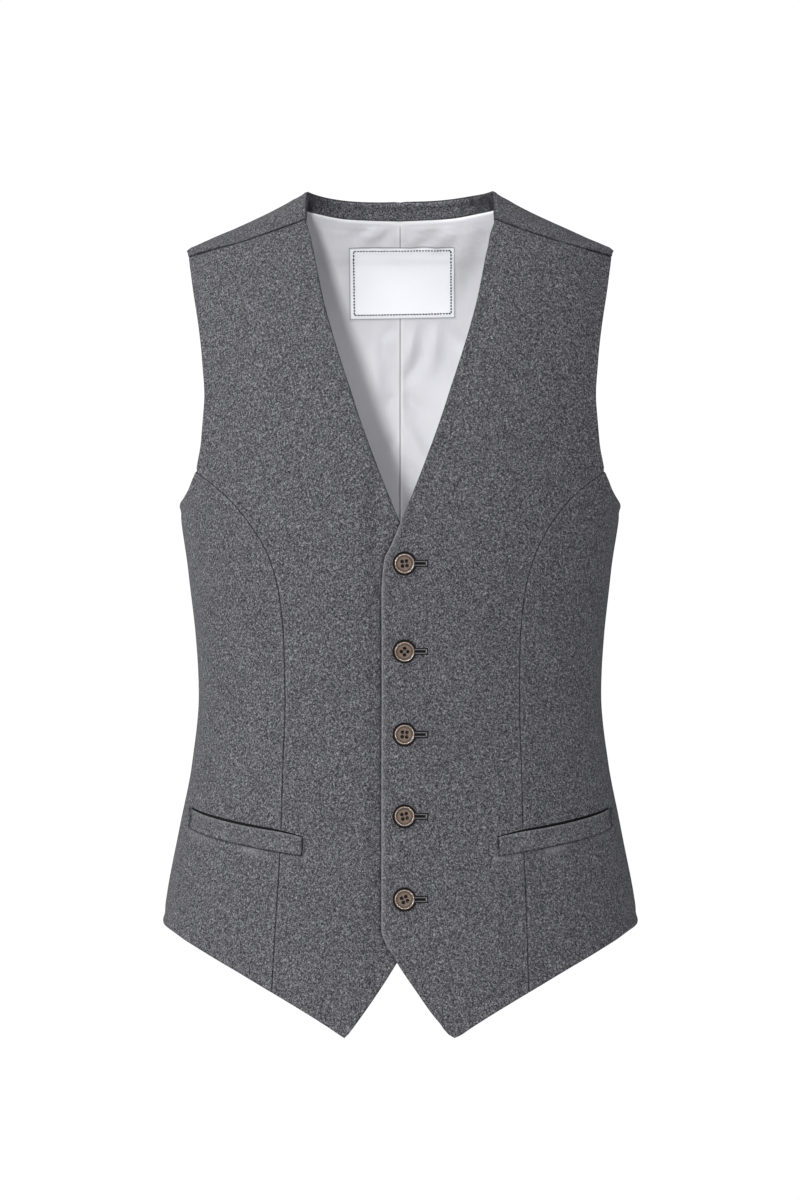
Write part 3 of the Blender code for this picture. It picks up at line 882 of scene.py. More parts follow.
def cloth(
        name, finish, grid, level, wall, turned=(), seams=(), side=1, extra=0, shows_inside=False,
        pale=(), glow=0.42):
    """A wall of cloth on the form. side is 1 or -1, or one of them for each grid point.

    Turned edges get an outline of painted shade, except the pale ones, which get a painted highlight.
    """
    rows, columns = grid.shape[:2]
    turn, drop = grid.reshape(-1, 2).T
    base = form(turn, drop)
    normal = outward(turn, drop)
    roll = min(ROLL, wall * 0.48)
    shown = numpy.zeros(len(base))
    hidden = numpy.zeros(len(base))
    pressed = numpy.zeros(len(base))
    # Painted shade in the seams
    dark = seam_shade(base, seams)
    full = 1 + 0.35 * waver(base, 23)
    # Painted highlight along the pale edges, with a wide faint spread
    for line in pale:
        distance = distance_to(base, line)
        pale_edge = numpy.maximum(bell(distance, 0.5, 0.6), glow * bell(distance, 0, 3.2))
        pressed = numpy.maximum(pressed, pale_edge)
    for line in turned:
        distance = distance_to(base, line)
        rise = turned_edge(distance, roll, near_shoulder_end(base))
        # Painted shade as an outline along each turned edge
        dark = numpy.maximum(dark, 0.5 * bell(distance, 0, 0.8) * (1 - pressed))
        shown = numpy.maximum(shown, rise * full)
        hidden = numpy.minimum(hidden, rise)
    shown = shown + hidden
    for line in seams:
        distance = distance_to(base, line)
        shown += seam_edge(distance * (1 + 0.15 * waver(base, 3)))
        # Painted highlight on the ridge beside each seam
        pressed = numpy.maximum(pressed, 0.16 * bell(distance, 1.5, 1.0))
    outer = level + (hidden if shows_inside else shown)
    inner = level - wall - (shown if shows_inside else hidden)
    inner = numpy.minimum(inner, outer - THINNEST)
    mirror = numpy.ones((len(base), 3))
    mirror[:, 0] = side
    skins = [uneven((base + normal * (height + extra)[:, None]) * mirror) for height in (outer, inner)]
    return shell(name, finish, *skins, rows, columns, {"seam": dark, "pressed": pressed})


print("wall of the thinnest cloth, mm:", THINNEST)

# %% [markdown]
# ## Writing materials as recipes
#
# A material is a tree of nodes. Written out in full, each node takes several lines for its
# settings, its values and its links. The class below makes a node in one call, where an input is
# either a plain value or the output of an earlier node, so a finish reads like a recipe.

# %% Writing materials as recipes
class Recipe:
    """A material's nodes, added one at a time."""

    def __init__(self, name):
        """A new material with its shader."""
        self.material = bpy.data.materials.new(name)
        self.material.use_nodes = True
        self.tree = self.material.node_tree
        self.shader = self.tree.nodes["Principled BSDF"]

    def add(self, kind, settings=None, **inputs):
        """Node of a kind. Inputs are named, with _ for a space, or numbered as i0, i1 and so on."""
        node = self.tree.nodes.new("ShaderNode" + kind)
        for key, value in (settings or {}).items():
            setattr(node, key, value)
        for key, value in inputs.items():
            numbered = key[0] == "i" and key[1:].isdigit()
            self.feed(node, int(key[1:]) if numbered else key.replace("_", " "), value)
        return node

    def feed(self, node, key, value):
        """Gives an input a value, or a link when the value is another node's output."""
        socket = node.inputs[key]
        if isinstance(value, bpy.types.NodeSocket):
            self.tree.links.new(value, socket)
        else:
            socket.default_value = value

    def place(self):
        """Where a point lies on the piece."""
        return self.add("TexCoord").outputs["Object"]

    def along(self, place, size, turns=(0, 0, 0)):
        """Places stretched by a size along each axis, after turns in degrees about the axes."""
        rotation = [math.radians(turn) for turn in turns]
        mapping = {"vector_type": "TEXTURE"}
        return self.add("Mapping", mapping, Vector=place, Rotation=rotation, Scale=size).outputs[0]

    def noise(self, place, scale, detail=0.0, roughness=0.5):
        """Cloudy values round 0.5."""
        inputs = {"Vector": place, "Scale": scale, "Detail": detail, "Roughness": roughness}
        return self.add("TexNoise", None, **inputs).outputs[0]

    def mark(self, name):
        """The value of that name kept on the points of the mesh."""
        return self.add("Attribute", {"attribute_name": name}).outputs["Fac"]

    def math(self, operation, first, second=0.0, third=0.0):
        """One sum on each point's value."""
        return self.add("Math", {"operation": operation}, i0=first, i1=second, i2=third).outputs[0]

    def spread(self, value, low, high, new_low=0.0, new_high=1.0):
        """Values from low to high, spread over a new range."""
        ends = {"From_Min": low, "From_Max": high, "To_Min": new_low, "To_Max": new_high}
        return self.add("MapRange", None, Value=value, **ends).outputs[0]

    def mix(self, share, first, second):
        """A share of the second colour mixed into the first."""
        return self.add("Mix", {"data_type": "RGBA"}, i0=share, i6=first, i7=second).outputs[2]

    def ramp(self, value, stops):
        """Colours for values, from stops of a place and a colour."""
        node = self.add("ValToRGB", None, Fac=value)
        band = node.color_ramp
        for spare in list(band.elements)[1:]:
            band.elements.remove(spare)
        band.elements[0].position = stops[0][0]
        band.elements[0].color = (*stops[0][1], 1)
        for place, colour in stops[1:]:
            band.elements.new(place).color = (*colour, 1)
        return node.outputs["Color"]

    def bump(self, height, distance, strength):
        """Fine relief, in metres, that bends the light but not the mesh."""
        return self.add("Bump", None, Height=height, Distance=distance, Strength=strength).outputs[0]

    def finish(self, **inputs):
        """Feeds the shader and hands over the material."""
        for key, value in inputs.items():
            self.feed(self.shader, key.replace("_", " "), value)
        return self.material


print("steps a recipe knows:", sum(callable(step) for step in vars(Recipe).values()))

# %% [markdown]
# ## Wool
#
# The suiting is a brushed flannel: light and dark grey fibres are mixed before spinning, and the
# surface is raised so that no weave shows, only short strokes that point every way. A weave
# texture would be wrong. Six noises are each stretched along another direction in space; the
# strongest and the weakest of them at each point give the light and the dark fibres.
# Stretching in space, and not on an unwrapped surface, keeps the fibres the same on every piece.

# %% Wool
FIBRE_SIZE = (0.0021, 0.0008, 0.0008)
FIBRE_TURNS = (
    # degrees about x, y and z
    (0, 42, 12),
    (10, -38, -15),
    (-12, 5, 20),
    (15, 88, -8),
    (35, 20, 75),
    (-30, -62, 60),
)
FIBRE_COLOURS = (
    # share of the spread of the fibres, colour
    (0.0, (0.016, 0.016, 0.0195)),
    (0.30, (0.0288, 0.0288, 0.0332)),
    (0.50, (0.0640, 0.0640, 0.0722)),
    (0.70, (0.1125, 0.1135, 0.125)),
    (1.0, (0.215, 0.215, 0.231)),
)


def wool(name, tone=1.0):
    """Brushed flannel, from light and dark fibres; tone makes all of them lighter or darker."""
    make = Recipe(name)
    # Drawn out from front to back, since the sides are seen at a slant and would blur
    stretch = {"operation": "MULTIPLY"}
    place = make.add("VectorMath", stretch, i0=make.place(), i1=(1.0, 0.55, 1.0)).outputs[0]
    bend = make.add("TexNoise", None, Vector=place, Scale=260.0, Detail=0.0)
    swing = make.add(
        "VectorMath", {"operation": "MULTIPLY_ADD"},
        i0=bend.outputs["Color"], i1=(0.0012, 0.0012, 0.0012), i2=place,
    ).outputs[0]
    light = dark = None
    for turns in FIBRE_TURNS:
        fibre = make.noise(make.along(swing, FIBRE_SIZE, turns), 1.0, 0.3)
        light = fibre if light is None else make.math("MAXIMUM", light, fibre)
        dark = fibre if dark is None else make.math("MINIMUM", dark, fibre)
    both = make.math("ADD", light, dark)
    strokes = make.math("MULTIPLY_ADD", make.noise(place, 120.0, 2.0, 0.6), 0.03, both)
    stops = [(share, [tone * part for part in fibre]) for share, fibre in FIBRE_COLOURS]
    colour = make.ramp(make.spread(strokes, 0.73, 1.30), stops)
    uneven_line = make.spread(make.noise(place, 190.0), 0.36, 0.54, 0.68, 0.97)
    # Painted shade from the seam mark and a painted highlight from the light mark
    sewn = make.math("MULTIPLY", make.mark("seam"), uneven_line)
    highlight_share = make.math("MULTIPLY", make.mark("pressed"), 0.6)
    colour = make.mix(highlight_share, colour, (0.19, 0.19, 0.205, 1))
    colour = make.mix(sewn, colour, (0.004, 0.004, 0.005, 1))
    return make.finish(
        Base_Color=colour, Normal=make.bump(strokes, 0.0007, 0.9),
        Roughness=0.92, Specular_IOR_Level=0.12,
        Sheen_Weight=0.08, Sheen_Roughness=0.5, Sheen_Tint=(0.75, 0.76, 0.82, 1),
    )


wool_grey = wool("wool_grey")
# A copy of the same wool made 1.44 times lighter: painted light on the neck facing, which lies in shade
wool_facing_painted_light = wool("wool_facing_painted_light", 1.44)
print("wool nodes:", len(wool_grey.node_tree.nodes))

# %% [markdown]
# ## Satin
#
# The back lining is a silver satin. Its warp threads float over the surface, so it is smooth and
# bright with long soft highlights across its folds. A picture of cloth could be laid over it,
# but it would need unwrapping and would carry its own light. A lower roughness and a very fine
# bump along the thread do it here; the folds themselves are geometry.

# %% Satin
WARP_SIZE = (0.0004, 0.004, 0.012)


def shaded(colour, share):
    """A colour at a share of its brightness, in the form a node wants."""
    return tuple(min(share * part, 1) for part in colour) + (1,)


def satin(name, base, roughness, thread, gloss, depth=0.90):
    """Floating threads of one colour; depth is how dark it gets between them."""
    make = Recipe(name)
    place = make.place()
    threads = make.noise(make.along(place, WARP_SIZE), 1.0, 2.0)
    cloud = make.math("MULTIPLY", make.noise(place, 45.0, 2.0), 0.14)
    shade = make.math("MULTIPLY_ADD", threads, 0.12, cloud)
    colour = make.mix(make.spread(shade, 0.06, 0.2), shaded(base, depth), shaded(base, 1))
    # Painted shade from the seam mark and a painted highlight from the light mark, as on the wool
    colour = make.mix(make.math("MULTIPLY", make.mark("seam"), 0.6), colour, (0.16, 0.16, 0.17, 1))
    colour = make.mix(make.mark("pressed"), colour, (0.96, 0.96, 0.97, 1))
    return make.finish(
        Base_Color=colour, Normal=make.bump(threads, thread, 0.5), Roughness=roughness,
        Specular_IOR_Level=gloss, Sheen_Weight=0.1, Sheen_Roughness=0.3,
    )


satin_silver = satin("satin_silver", (0.648, 0.648, 0.685), 0.42, 0.00008, 0.14)
satin_label = satin("satin_label", (0.89, 0.89, 0.945), 0.6, 0.00005, 0.08, 0.96)
print("satin nodes:", len(satin_silver.node_tree.nodes))

# %% [markdown]
# ## Horn and thread
#
# The buttons are a brown resin that copies horn: a dished middle with fine streaks inside a
# paler rim. The rim is polished, so it gets a clear coat that mirrors the lamps; the dish is
# left duller. One recipe with two sets of values does both, and painted shade in the groove
# between them is a value kept on the points of the mesh. Thread is a dull finish with a fine
# twist; nearly black, it also serves as painted shadow in the pocket mouths, the slits and the
# buttons' holes, and round the buttons and the stitches of the buttonholes.

# %% Horn and thread
def horn(name, dark, light, roughness, gloss, coat):
    """Streaked resin between two colours; the coat is the polish of the rim."""
    make = Recipe(name)
    streaks = make.along(make.place(), (0.0050, 0.0012, 0.0007), (0, 35, 0))
    grain = make.noise(streaks, 1.0, 3.0, 0.6)
    middle = tuple((first + second) / 2 for first, second in zip(dark, light))
    colour = make.ramp(grain, ((0.25, dark), (0.55, middle), (0.8, light)))
    # Painted shade in the groove between rim and dish
    colour = make.mix(make.mark("groove_painted_shade"), colour, (0.012, 0.013, 0.016, 1))
    return make.finish(
        Base_Color=colour, Normal=make.bump(grain, 0.0001, 0.3), Roughness=roughness,
        Specular_IOR_Level=gloss, Coat_Weight=coat, Coat_Roughness=0.2, Coat_IOR=1.8,
    )


def thread(name, colour):
    """Dull twisted thread."""
    make = Recipe(name)
    twist = make.noise(make.place(), 2600.0, 1.0)
    shade = make.mix(twist, shaded(colour, 0.6), shaded(colour, 1.3))
    relief = make.bump(twist, 0.0001, 0.5)
    return make.finish(Base_Color=shade, Normal=relief, Roughness=0.8, Specular_IOR_Level=0.2)


horn_dish = horn("horn_dish", (0.042, 0.025, 0.016), (0.160, 0.102, 0.067), 0.55, 0.35, 0.0)
horn_rim = horn("horn_rim", (0.108, 0.068, 0.044), (0.212, 0.140, 0.094), 0.35, 0.5, 1.0)
thread_grey = thread("thread_grey", (0.145, 0.145, 0.157))
thread_black = thread("thread_black", (0.008, 0.008, 0.009))
# Near black: painted shadow in the pocket mouths, the buttonhole slits and the buttons' holes
painted_shadow_black = thread("painted_shadow_black", (0.003, 0.003, 0.0035))
# Near black: painted shadow round each button and round the stitches of each buttonhole
painted_shadow_wool = thread("painted_shadow_wool", (0.005, 0.005, 0.0055))
print("finishes:", [material.name for material in bpy.data.materials])

# %% [markdown]
# ## Which edges are turned and which are sewn
#
# Every panel names its sides: a turned edge ends the cloth, a seam joins it to the next piece. All
# edges are first walked along once and kept by name, since neighbours ask for the same seam. An
# edge could also be found from the mesh's own border, but then a seam and a hem would look alike.

# %% Which edges are turned and which are sewn
LINES = {
    "v": line_on_form(on_front(V_EDGE)),
    "v_crossing": line_on_form(on_front(V_EDGE[10:])),
    "lap": line_on_form(on_front(LAP_EDGE)),
    "cutaway": line_on_form(on_front(CUTAWAY)),
    "cutaway_turn": line_on_form(on_front(CUTAWAY[:4])),
    "under_cutaway": line_on_form(on_front(UNDER_CUTAWAY)),
    "shoulder": line_on_form(on_front(SHOULDER_SEAM)),
    "arm_front": line_on_form(on_front(ARMHOLE_FRONT)),
    "princess_left": line_on_form(princess(1)),
    "princess_right": line_on_form(princess(-1)),
    "underarm": line_on_form(UNDERARM),
    "shoulder_end": line_on_form(SHOULDER_END),
    "arm_back": line_on_form(ARMHOLE_BACK),
    "side": line_on_form(SIDE_SEAM),
    "centre_back": line_on_form(CENTRE_BACK),
    "neck_climb": line_on_form(NECK_EDGE),
    "neck": line_on_form(BACK_NECK),
    "facing_climb": line_on_form(FACING_EDGE),
    "facing": line_on_form(FACING_FOOT),
    "hem_front": line_on_form(hem_between(17, 41)),
    "hem_side": line_on_form(hem_between(40, 95)),
    "hem_back": line_on_form(hem_between(95, 180)),
    "lining_hem": line_on_form(hem_between(95, 180, 9)),
}
FRONT_EDGES = ("v", "lap", "arm_front", "hem_front")
BACK_EDGES = ("neck_climb", "neck", "shoulder_end", "arm_back", "hem_back")
BACK_SEAMS = ("shoulder", "side", "centre_back")
PANELS = {
    # node: turned edges, seams
    "front_left": (FRONT_EDGES + ("cutaway",), ("shoulder", "princess_left")),
    "front_right": (FRONT_EDGES + ("under_cutaway",), ("shoulder", "princess_right")),
    "side_front_left": (("underarm", "hem_side"), ("princess_left", "side")),
    "side_front_right": (("underarm", "hem_side"), ("princess_right", "side")),
    "back_left": (BACK_EDGES, BACK_SEAMS),
    "back_right": (BACK_EDGES, BACK_SEAMS),
}


def lines(names):
    """The lines of some edges."""
    return [LINES[name] for name in names]


print("edges kept by name:", len(LINES))

# %% [markdown]
# ## How far each panel stands out
#
# The folds, a slow swell and, on the front that lies under, a step inwards near the lap: together
# they say how far each point stands off the form. Two cloths that lie on each other never share
# one place, so the under front has to give way by more than the upper one's thickness.

# %% How far each panel stands out
CLOTH = 2.0
UNDER_STEP = 2.4
STEP_FULL_TURN = 8.5
STEP_NONE_TURN = 13.0
RIGHT_SIDE_FOLDS = 0.8


def step_in(turn):
    """Depth that the under front gives way at a turn of its own side."""
    share = numpy.clip((STEP_NONE_TURN - turn) / (STEP_NONE_TURN - STEP_FULL_TURN), 0, 1)
    return UNDER_STEP * share * share * (3 - 2 * share)


def slow_swell(points, side):
    """Slight fullness of the cloth between its seams, different on the two sides."""
    return 0.35 * waver(points * (side, 1, 1) + (31 * side, 0, 0), 38)


def panel_height(back_panel, base, side):
    """Height of the folds and of the slow swell, in front or behind."""
    folds = folds_on(across_and_drop(base), BACK_FOLDS if back_panel else FRONT_FOLDS)
    folds = numpy.where((base[:, 1] > 0) == back_panel, folds, 0)
    return folds * (1 if side > 0 else RIGHT_SIDE_FOLDS) + slow_swell(base, side)


print("the under front steps in by", step_in(numpy.array([8.0, 10.0, 12.0])).round(2), "mm")

# %% [markdown]
# ## Shadows at the lap and the buttons
#
# Where one cloth lies on another the light doesn't reach, and a front that is held shut pulls
# into short creases over its buttons. Both are narrower than the mesh is fine, so they are painted
# shade in the material and not shapes, and so is a soft shadow round each button.

# %% Shadows at the lap and the buttons
BUTTON_ACROSS = 3.3
BUTTON_ROWS = (
    # drop, spin in degrees
    (293.8, 6),
    (360.6, 43),
    (423.8, -4),
    (485.8, 12),
    (548.6, 22),
)


def shade_beside_lap(base):
    """Darkness of the under front where the upper edge lies on it, fading away from that edge."""
    across, drop = across_and_drop(base).T
    edge = numpy.array(V_EDGE + LAP_EDGE[1:] + CUTAWAY[1:])
    beyond = across + numpy.interp(drop, edge[:, 1], edge[:, 0])
    return 0.85 * numpy.where(beyond < 0, 1, bell(beyond, 0, 1.8)) * (drop > 255)


def shade_over_buttons(base):
    """Painted shade of short creases that rise from the buttons, where the front is held shut, and a
    soft painted shadow round each button.
    """
    across, drop = across_and_drop(base).T
    over = [bell(drop - row, -10.5, 2.6) for row, _ in BUTTON_ROWS]
    creases = 0.45 * bell(across - BUTTON_ACROSS, 1.8, 0.6) * sum(over)
    gaps = [numpy.hypot(across - BUTTON_ACROSS, drop - row) for row, _ in BUTTON_ROWS]
    away = numpy.maximum(numpy.minimum.reduce(gaps) - 8.5, 0)
    return numpy.maximum(creases, 0.3 * bell(away, 0, 2.2))


print("buttons at drops of", [drop for drop, _ in BUTTON_ROWS], "mm")

# %% [markdown] ## The wool panels  Fronts, side fronts and backs, left and right. The loop below
# is the cutting table: it takes each panel's grid, folds and edges and makes the cloth.

# %% The wool panels
made = {}
for node, (turned, seams) in PANELS.items():
    side = 1 if node.endswith("left") else -1
    turn, drop = grids[node].reshape(-1, 2).T
    base = form(turn, drop)
    extra = panel_height(node.startswith("back"), base, side)
    if node == "front_right":
        extra = extra - step_in(turn)
    # The upper front's edges get a painted highlight
    pale = lines(("v_crossing", "lap", "cutaway_turn")) if node == "front_left" else ()
    made[node] = cloth(
        "wool_" + node, wool_grey, grids[node], 0, CLOTH,
        lines(turned), lines(seams), side, extra, pale=pale,
    )
    if node.startswith("front"):
        # Painted shade: beside the lap on the under front, and over and round the buttons on the upper
        # one
        added = shade_beside_lap(base) if side < 0 else shade_over_buttons(base)
        change_mark(made[node], "seam", numpy.maximum(mark_of(made[node], "seam"), added))
    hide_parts(node)
    print(node, len(made[node].data.polygons), "faces")

# %% [markdown]
# ## The inside of the back
#
# A facing of the same wool finishes the back neck, and the satin lining hangs from it. The lining
# is cut a little larger than the back, so it stands off it in soft folds and puckers along its
# centre seam. It could be draped by a simulation and would then find its own folds; moved inwards
# from the same form by the height of its folds, it keeps the ones that are wanted.

# %% The inside of the back
LAYER_GAP = 0.45
LINING_EASE = 1.7


def inside_height(across, drop):
    """How far the lining stands in from the back at signed distances across."""
    flat = numpy.stack([across, drop], axis=1)
    folds = 1.8 * folds_on(flat, LINING_FOLDS) + pucker(across, drop)
    under_label = numpy.exp(-((across - 1.6) / 43) ** 6 - ((drop - 64) / 29) ** 6)
    folds = folds * (1 - 0.8 * under_label)
    facing_foot = 15.5 - 8.5 * numpy.minimum(numpy.abs(across) / 75, 1) ** 2
    from_facing = numpy.clip((drop - facing_foot) / 5, 0, 1)
    from_side = numpy.clip((165 - numpy.abs(across)) / 30, 0, 1)
    from_hem = numpy.clip((570 - drop) / 40, 0, 1)
    free = from_facing * from_side * from_hem
    return numpy.maximum(free * (LINING_EASE + folds), 0)


def lining_shift(base, side):
    """Outward shift of the lining: it follows the back, less its own folds."""
    across = base[:, 0] * side
    return panel_height(True, base, 1) - inside_height(across, -base[:, 2])


print("the lining stands in from the back by", LINING_EASE, "mm and its folds")

# %% [markdown]
# ## The neck facing
#
# The facing is a narrow strip cut to the curve of the neck. It is the one piece that runs across
# the centre back without a seam, so its grid is the left half followed by the same half again,
# mirrored. It lies in the shade of the shoulders, and a mark darkens it towards its ends.

# %% The neck facing
FACING_WALL = 1.5
FACING_ACROSS = graded(15, 6)


def facing_grid():
    """Both halves of the facing, and how many rows the first has."""
    neck = chain(spaced(NECK_EDGE, 12, near=True), spaced(BACK_NECK, 30))
    foot = chain(spaced(FACING_EDGE, 12, near=True), spaced(FACING_FOOT, 30))
    share = FACING_ACROSS[None, :, None]
    half = neck[:, None] * (1 - share) + foot[:, None] * share
    return numpy.concatenate([half, half[-2::-1]]), len(half)


def make_facing():
    """The facing, with its shade."""
    grid, half = facing_grid()
    side = numpy.where(numpy.arange(len(grid)) < half, 1, -1).repeat(grid.shape[1])
    turn, drop = grid.reshape(-1, 2).T
    extra = panel_height(True, form(turn, drop), 1)
    facing = cloth(
        "wool_neck_facing", wool_facing_painted_light, grid, -CLOTH - LAYER_GAP, FACING_WALL,
        lines(("neck_climb", "neck")), lines(("facing_climb", "facing")), side, extra, True,
    )
    down = numpy.tile(FACING_ACROSS, len(grid))
    reach = numpy.where(side > 0, 22, 18)
    least = numpy.where(side > 0, 0.92, 0.70)
    behind_strap = bell(numpy.maximum(turn - 103, 0), 0, reach) * (least + (1 - least) * down)
    beside_lining = seam_shade(form(turn, drop), lines(("facing",)))
    change_mark(facing, "seam", numpy.maximum(behind_strap, beside_lining))
    return facing


made["neck_facing"] = make_facing()
print("neck facing", len(made["neck_facing"].data.polygons), "faces")

# %% [markdown]
# ## The satin lining
#
# Two halves with a seam down the centre back, as high as the facing's foot and a little shorter
# than the wool at the hem, so that the satin never peeps out below it. The upper edge is felled
# to the facing by hand and pressed, and it gets a painted highlight as one of the pale edges.

# %% The satin lining
LINING_WALL = 0.8


def make_lining(side_name, side):
    """One half of the lining."""
    turn, drop = grids["lining"].reshape(-1, 2).T
    return cloth(
        "satin_lining_" + side_name, satin_silver, grids["lining"], -CLOTH - LAYER_GAP, LINING_WALL,
        lines(("lining_hem", "facing_climb", "facing")), lines(("side", "centre_back")),
        side, lining_shift(form(turn, drop), side), True, lines(("facing_climb", "facing")), 0,
    )


for side_name, side in (("left", 1), ("right", -1)):
    made["lining_back_" + side_name] = make_lining(side_name, side)
print("lining half", len(made["lining_back_left"].data.polygons), "faces")

# %% [markdown]
# ## The label
#
# A woven label lies on the lining below the neck, a few millimetres off square, as labels are.
# It carries nothing. It is placed by its four corners and takes the lining's folds, so it never
# floats or sinks, and its rim is raised a little where the edge of the weave is folded under.

# %% The label
LABEL_WALL = 0.7
LABEL_GAP = 0.2
LABEL_WIDTH = 84
LABEL_HEIGHT = 56
LABEL_CORNERS = (
    # across, drop
    (-41.8, 34.2),
    (44.5, 33.5),
    (-41.5, 91.6),
    (45.1, 89.9),
)


def label_place(share_across, share_down):
    """Turn, drop and side of a point of the label."""
    left_top, right_top, left_foot, right_foot = [numpy.array(corner) for corner in LABEL_CORNERS]
    one, two = share_across[..., None], share_down[..., None]
    flat = (left_top * (1 - one) + right_top * one) * (1 - two)
    flat = flat + (left_foot * (1 - one) + right_foot * one) * two
    across, drop = flat[..., 0], flat[..., 1]
    return turn_at(numpy.abs(across), drop, behind=True), drop, numpy.where(across < 0, -1, 1)


def make_label():
    """The label, with a shade round its edge."""
    rows = graded(LABEL_HEIGHT, 22)
    columns = graded(LABEL_WIDTH, 34)
    down, over = numpy.meshgrid(rows, columns, indexing="ij")
    turn, drop, side = label_place(over, down)
    grid = numpy.stack([turn, drop], axis=-1)
    side = side.ravel()
    base = form(turn.ravel(), drop.ravel())
    from_sides = numpy.minimum(over, 1 - over) * LABEL_WIDTH
    from_ends = numpy.minimum(down, 1 - down) * LABEL_HEIGHT
    edge = numpy.minimum(from_sides, from_ends).ravel()
    lift = bell(edge, 0, 1.4) * 0.15 - 0.2 * bell(edge, 3.2, 0.7)
    shift = lining_shift(base, side) + lift
    level = -CLOTH - LAYER_GAP - LINING_WALL - LABEL_GAP
    label = cloth("satin_label", satin_label, grid, level, LABEL_WALL, (), (), side, shift, True)
    change_mark(label, "seam", 1.5 * bell(edge, 0, 0.75))
    return label


made["label"] = make_label()
for node in ("neck_facing", "lining_back_left", "lining_back_right", "label"):
    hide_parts(node)
    print(node, len(made[node].data.polygons), "faces")

# %% [markdown]
# ## Pockets
#
# A welt is a folded strip sewn on along its foot and its two ends; its top edge stays open and
# the pocket goes down behind it. It slants upwards to the side so that a hand finds it, and its
# two long edges are placed by where they lie on the body.

# %% Pockets
WELT_TOP = (
    # turn, drop
    (33.6, 502.1),
    (40.5, 498.6),
    (50, 495.2),
    (60, 490.9),
    (69, 486.6),
    (75.2, 483.2),
)
WELT_FOOT = (
    # turn, drop
    (33.6, 516.7),
    (40.5, 514.4),
    (50, 510.6),
    (60, 506),
    (68, 501.9),
    (73.6, 498.7),
)
WELT_LEVEL = 1.9
WELT_WALL = 1.5
WELT_LENGTH = 135
WELT_HEIGHT = 15


def welt_grid(top_rows, foot_rows, rows, columns):
    """Grid between two lines, at given shares down and along."""
    top = at_shares(top_rows, columns)
    foot = at_shares(foot_rows, columns)
    share = rows[:, None, None]
    return top[None] * (1 - share) + foot[None] * share


print("welt between", WELT_TOP[0], "and", WELT_TOP[-1])

# %% [markdown]
# ## Cutting with Booleans
#
# Pockets, buttonholes and buttons are all cut the way a knife does it: a closed tool goes through
# the cloth and leaves its own finish on the cut faces. The cuts could also be drawn into the grid,
# but then every fold would have to dodge them. The tools are thrown away after use.

# %% Cutting with Booleans
def made_only(cut_object):
    """Applies an object's modifiers to its mesh."""
    graph = bpy.context.evaluated_depsgraph_get()
    graph.update()
    finished = bpy.data.meshes.new_from_object(cut_object.evaluated_get(graph))
    cut_object.modifiers.clear()
    cut_object.data = finished
    finished.set_sharp_from_angle(angle=math.radians(50))


def cut_with(target, tools):
    """Cuts a piece with closed tools."""
    for tool in tools:
        cut = target.modifiers.new("cut", "BOOLEAN")
        cut.operation = "DIFFERENCE"
        cut.solver = "MANIFOLD"
        cut.material_mode = "TRANSFER"
        cut.object = tool
    made_only(target)


def discard(tools):
    """Throws tools away after use."""
    for tool in tools:
        bpy.data.objects.remove(tool)


print("booleans ready")

# %% [markdown]
# ## The welt
#
# One strip of wool on the front. Its open top stands out a little, its sewn edges sink in, and a
# mark darkens them; the outer end's shadow is the widest, most of all where the welt gapes.

# %% The welt
def make_welt(side_name, side):
    """The folded strip of one pocket."""
    grid = welt_grid(WELT_TOP, WELT_FOOT, graded(WELT_HEIGHT, 6), graded(WELT_LENGTH, 60))
    down = graded(WELT_HEIGHT, 6).repeat(grid.shape[1])
    turn, drop = grid.reshape(-1, 2).T
    base = form(turn, drop)
    top = line_on_form(WELT_TOP)
    from_top = distance_to(base, top)
    edges = [top, line_on_form(WELT_FOOT), form(*grid[:, 0].T), form(*grid[:, -1].T)]
    # Distance from the foot, the inner end and the outer end, each by the width of its shadow
    widths = (1.0, 1.2, 6.6 - 3.6 * down)
    sewn = [distance_to(base, edge) / width for edge, width in zip(edges[1:], widths)]
    nearest = numpy.minimum.reduce(sewn)
    extra = panel_height(False, base, side) + 0.45 * bell(from_top, 0, 4) - 0.35 * bell(nearest, 0, 3)
    name = "wool_pocket_welt_" + side_name
    welt = cloth(name, wool_grey, grid, WELT_LEVEL, WELT_WALL, edges, (), side, extra)
    # Painted shade along the sewn edges
    change_mark(welt, "seam", numpy.exp(-nearest ** 4))
    # Painted highlight along the open top, and a faint one over the whole welt
    change_mark(welt, "pressed", 0.1 + 0.45 * bell(from_top, 0.6, 0.7))
    return welt


for side_name, side in (("left", 1), ("right", -1)):
    made["pocket_welt_" + side_name] = make_welt(side_name, side)
print("welts made:", sum(node.startswith("pocket_welt") for node in made))

# %% [markdown]
# ## The pocket's mouth
#
# The dark line above the welt is the shadow where the pocket goes down behind it. A thin strip of
# near-black painted shadow is cut into the panels there; it is built as a piece of cloth like any
# other, so it follows the folds. Below the welt a pale rim is painted on the panels as a highlight.

# %% The pocket's mouth
MOUTH_HEIGHT = 1.9
MOUTH_SHARES = (0.3, 0.7, 1, 1, 0.75, 0.3)
MOUTH_DEPTH = 1.5
MOUTH_TOP = 4


def make_mouth(side):
    """The closed tool that cuts one pocket's mouth."""
    upper = numpy.array(WELT_TOP) - [(0, MOUTH_HEIGHT * open_share) for open_share in MOUTH_SHARES]
    lower = numpy.array(WELT_TOP) + (0, 0.6)
    slot = welt_grid(upper, lower, numpy.linspace(0, 1, 3), numpy.linspace(0.004, 0.985, 60))
    turn, drop = slot.reshape(-1, 2).T
    extra = panel_height(False, form(turn, drop), side)
    return cloth("mouth", painted_shadow_black, slot, MOUTH_TOP, MOUTH_TOP + MOUTH_DEPTH, (), (), side, extra)


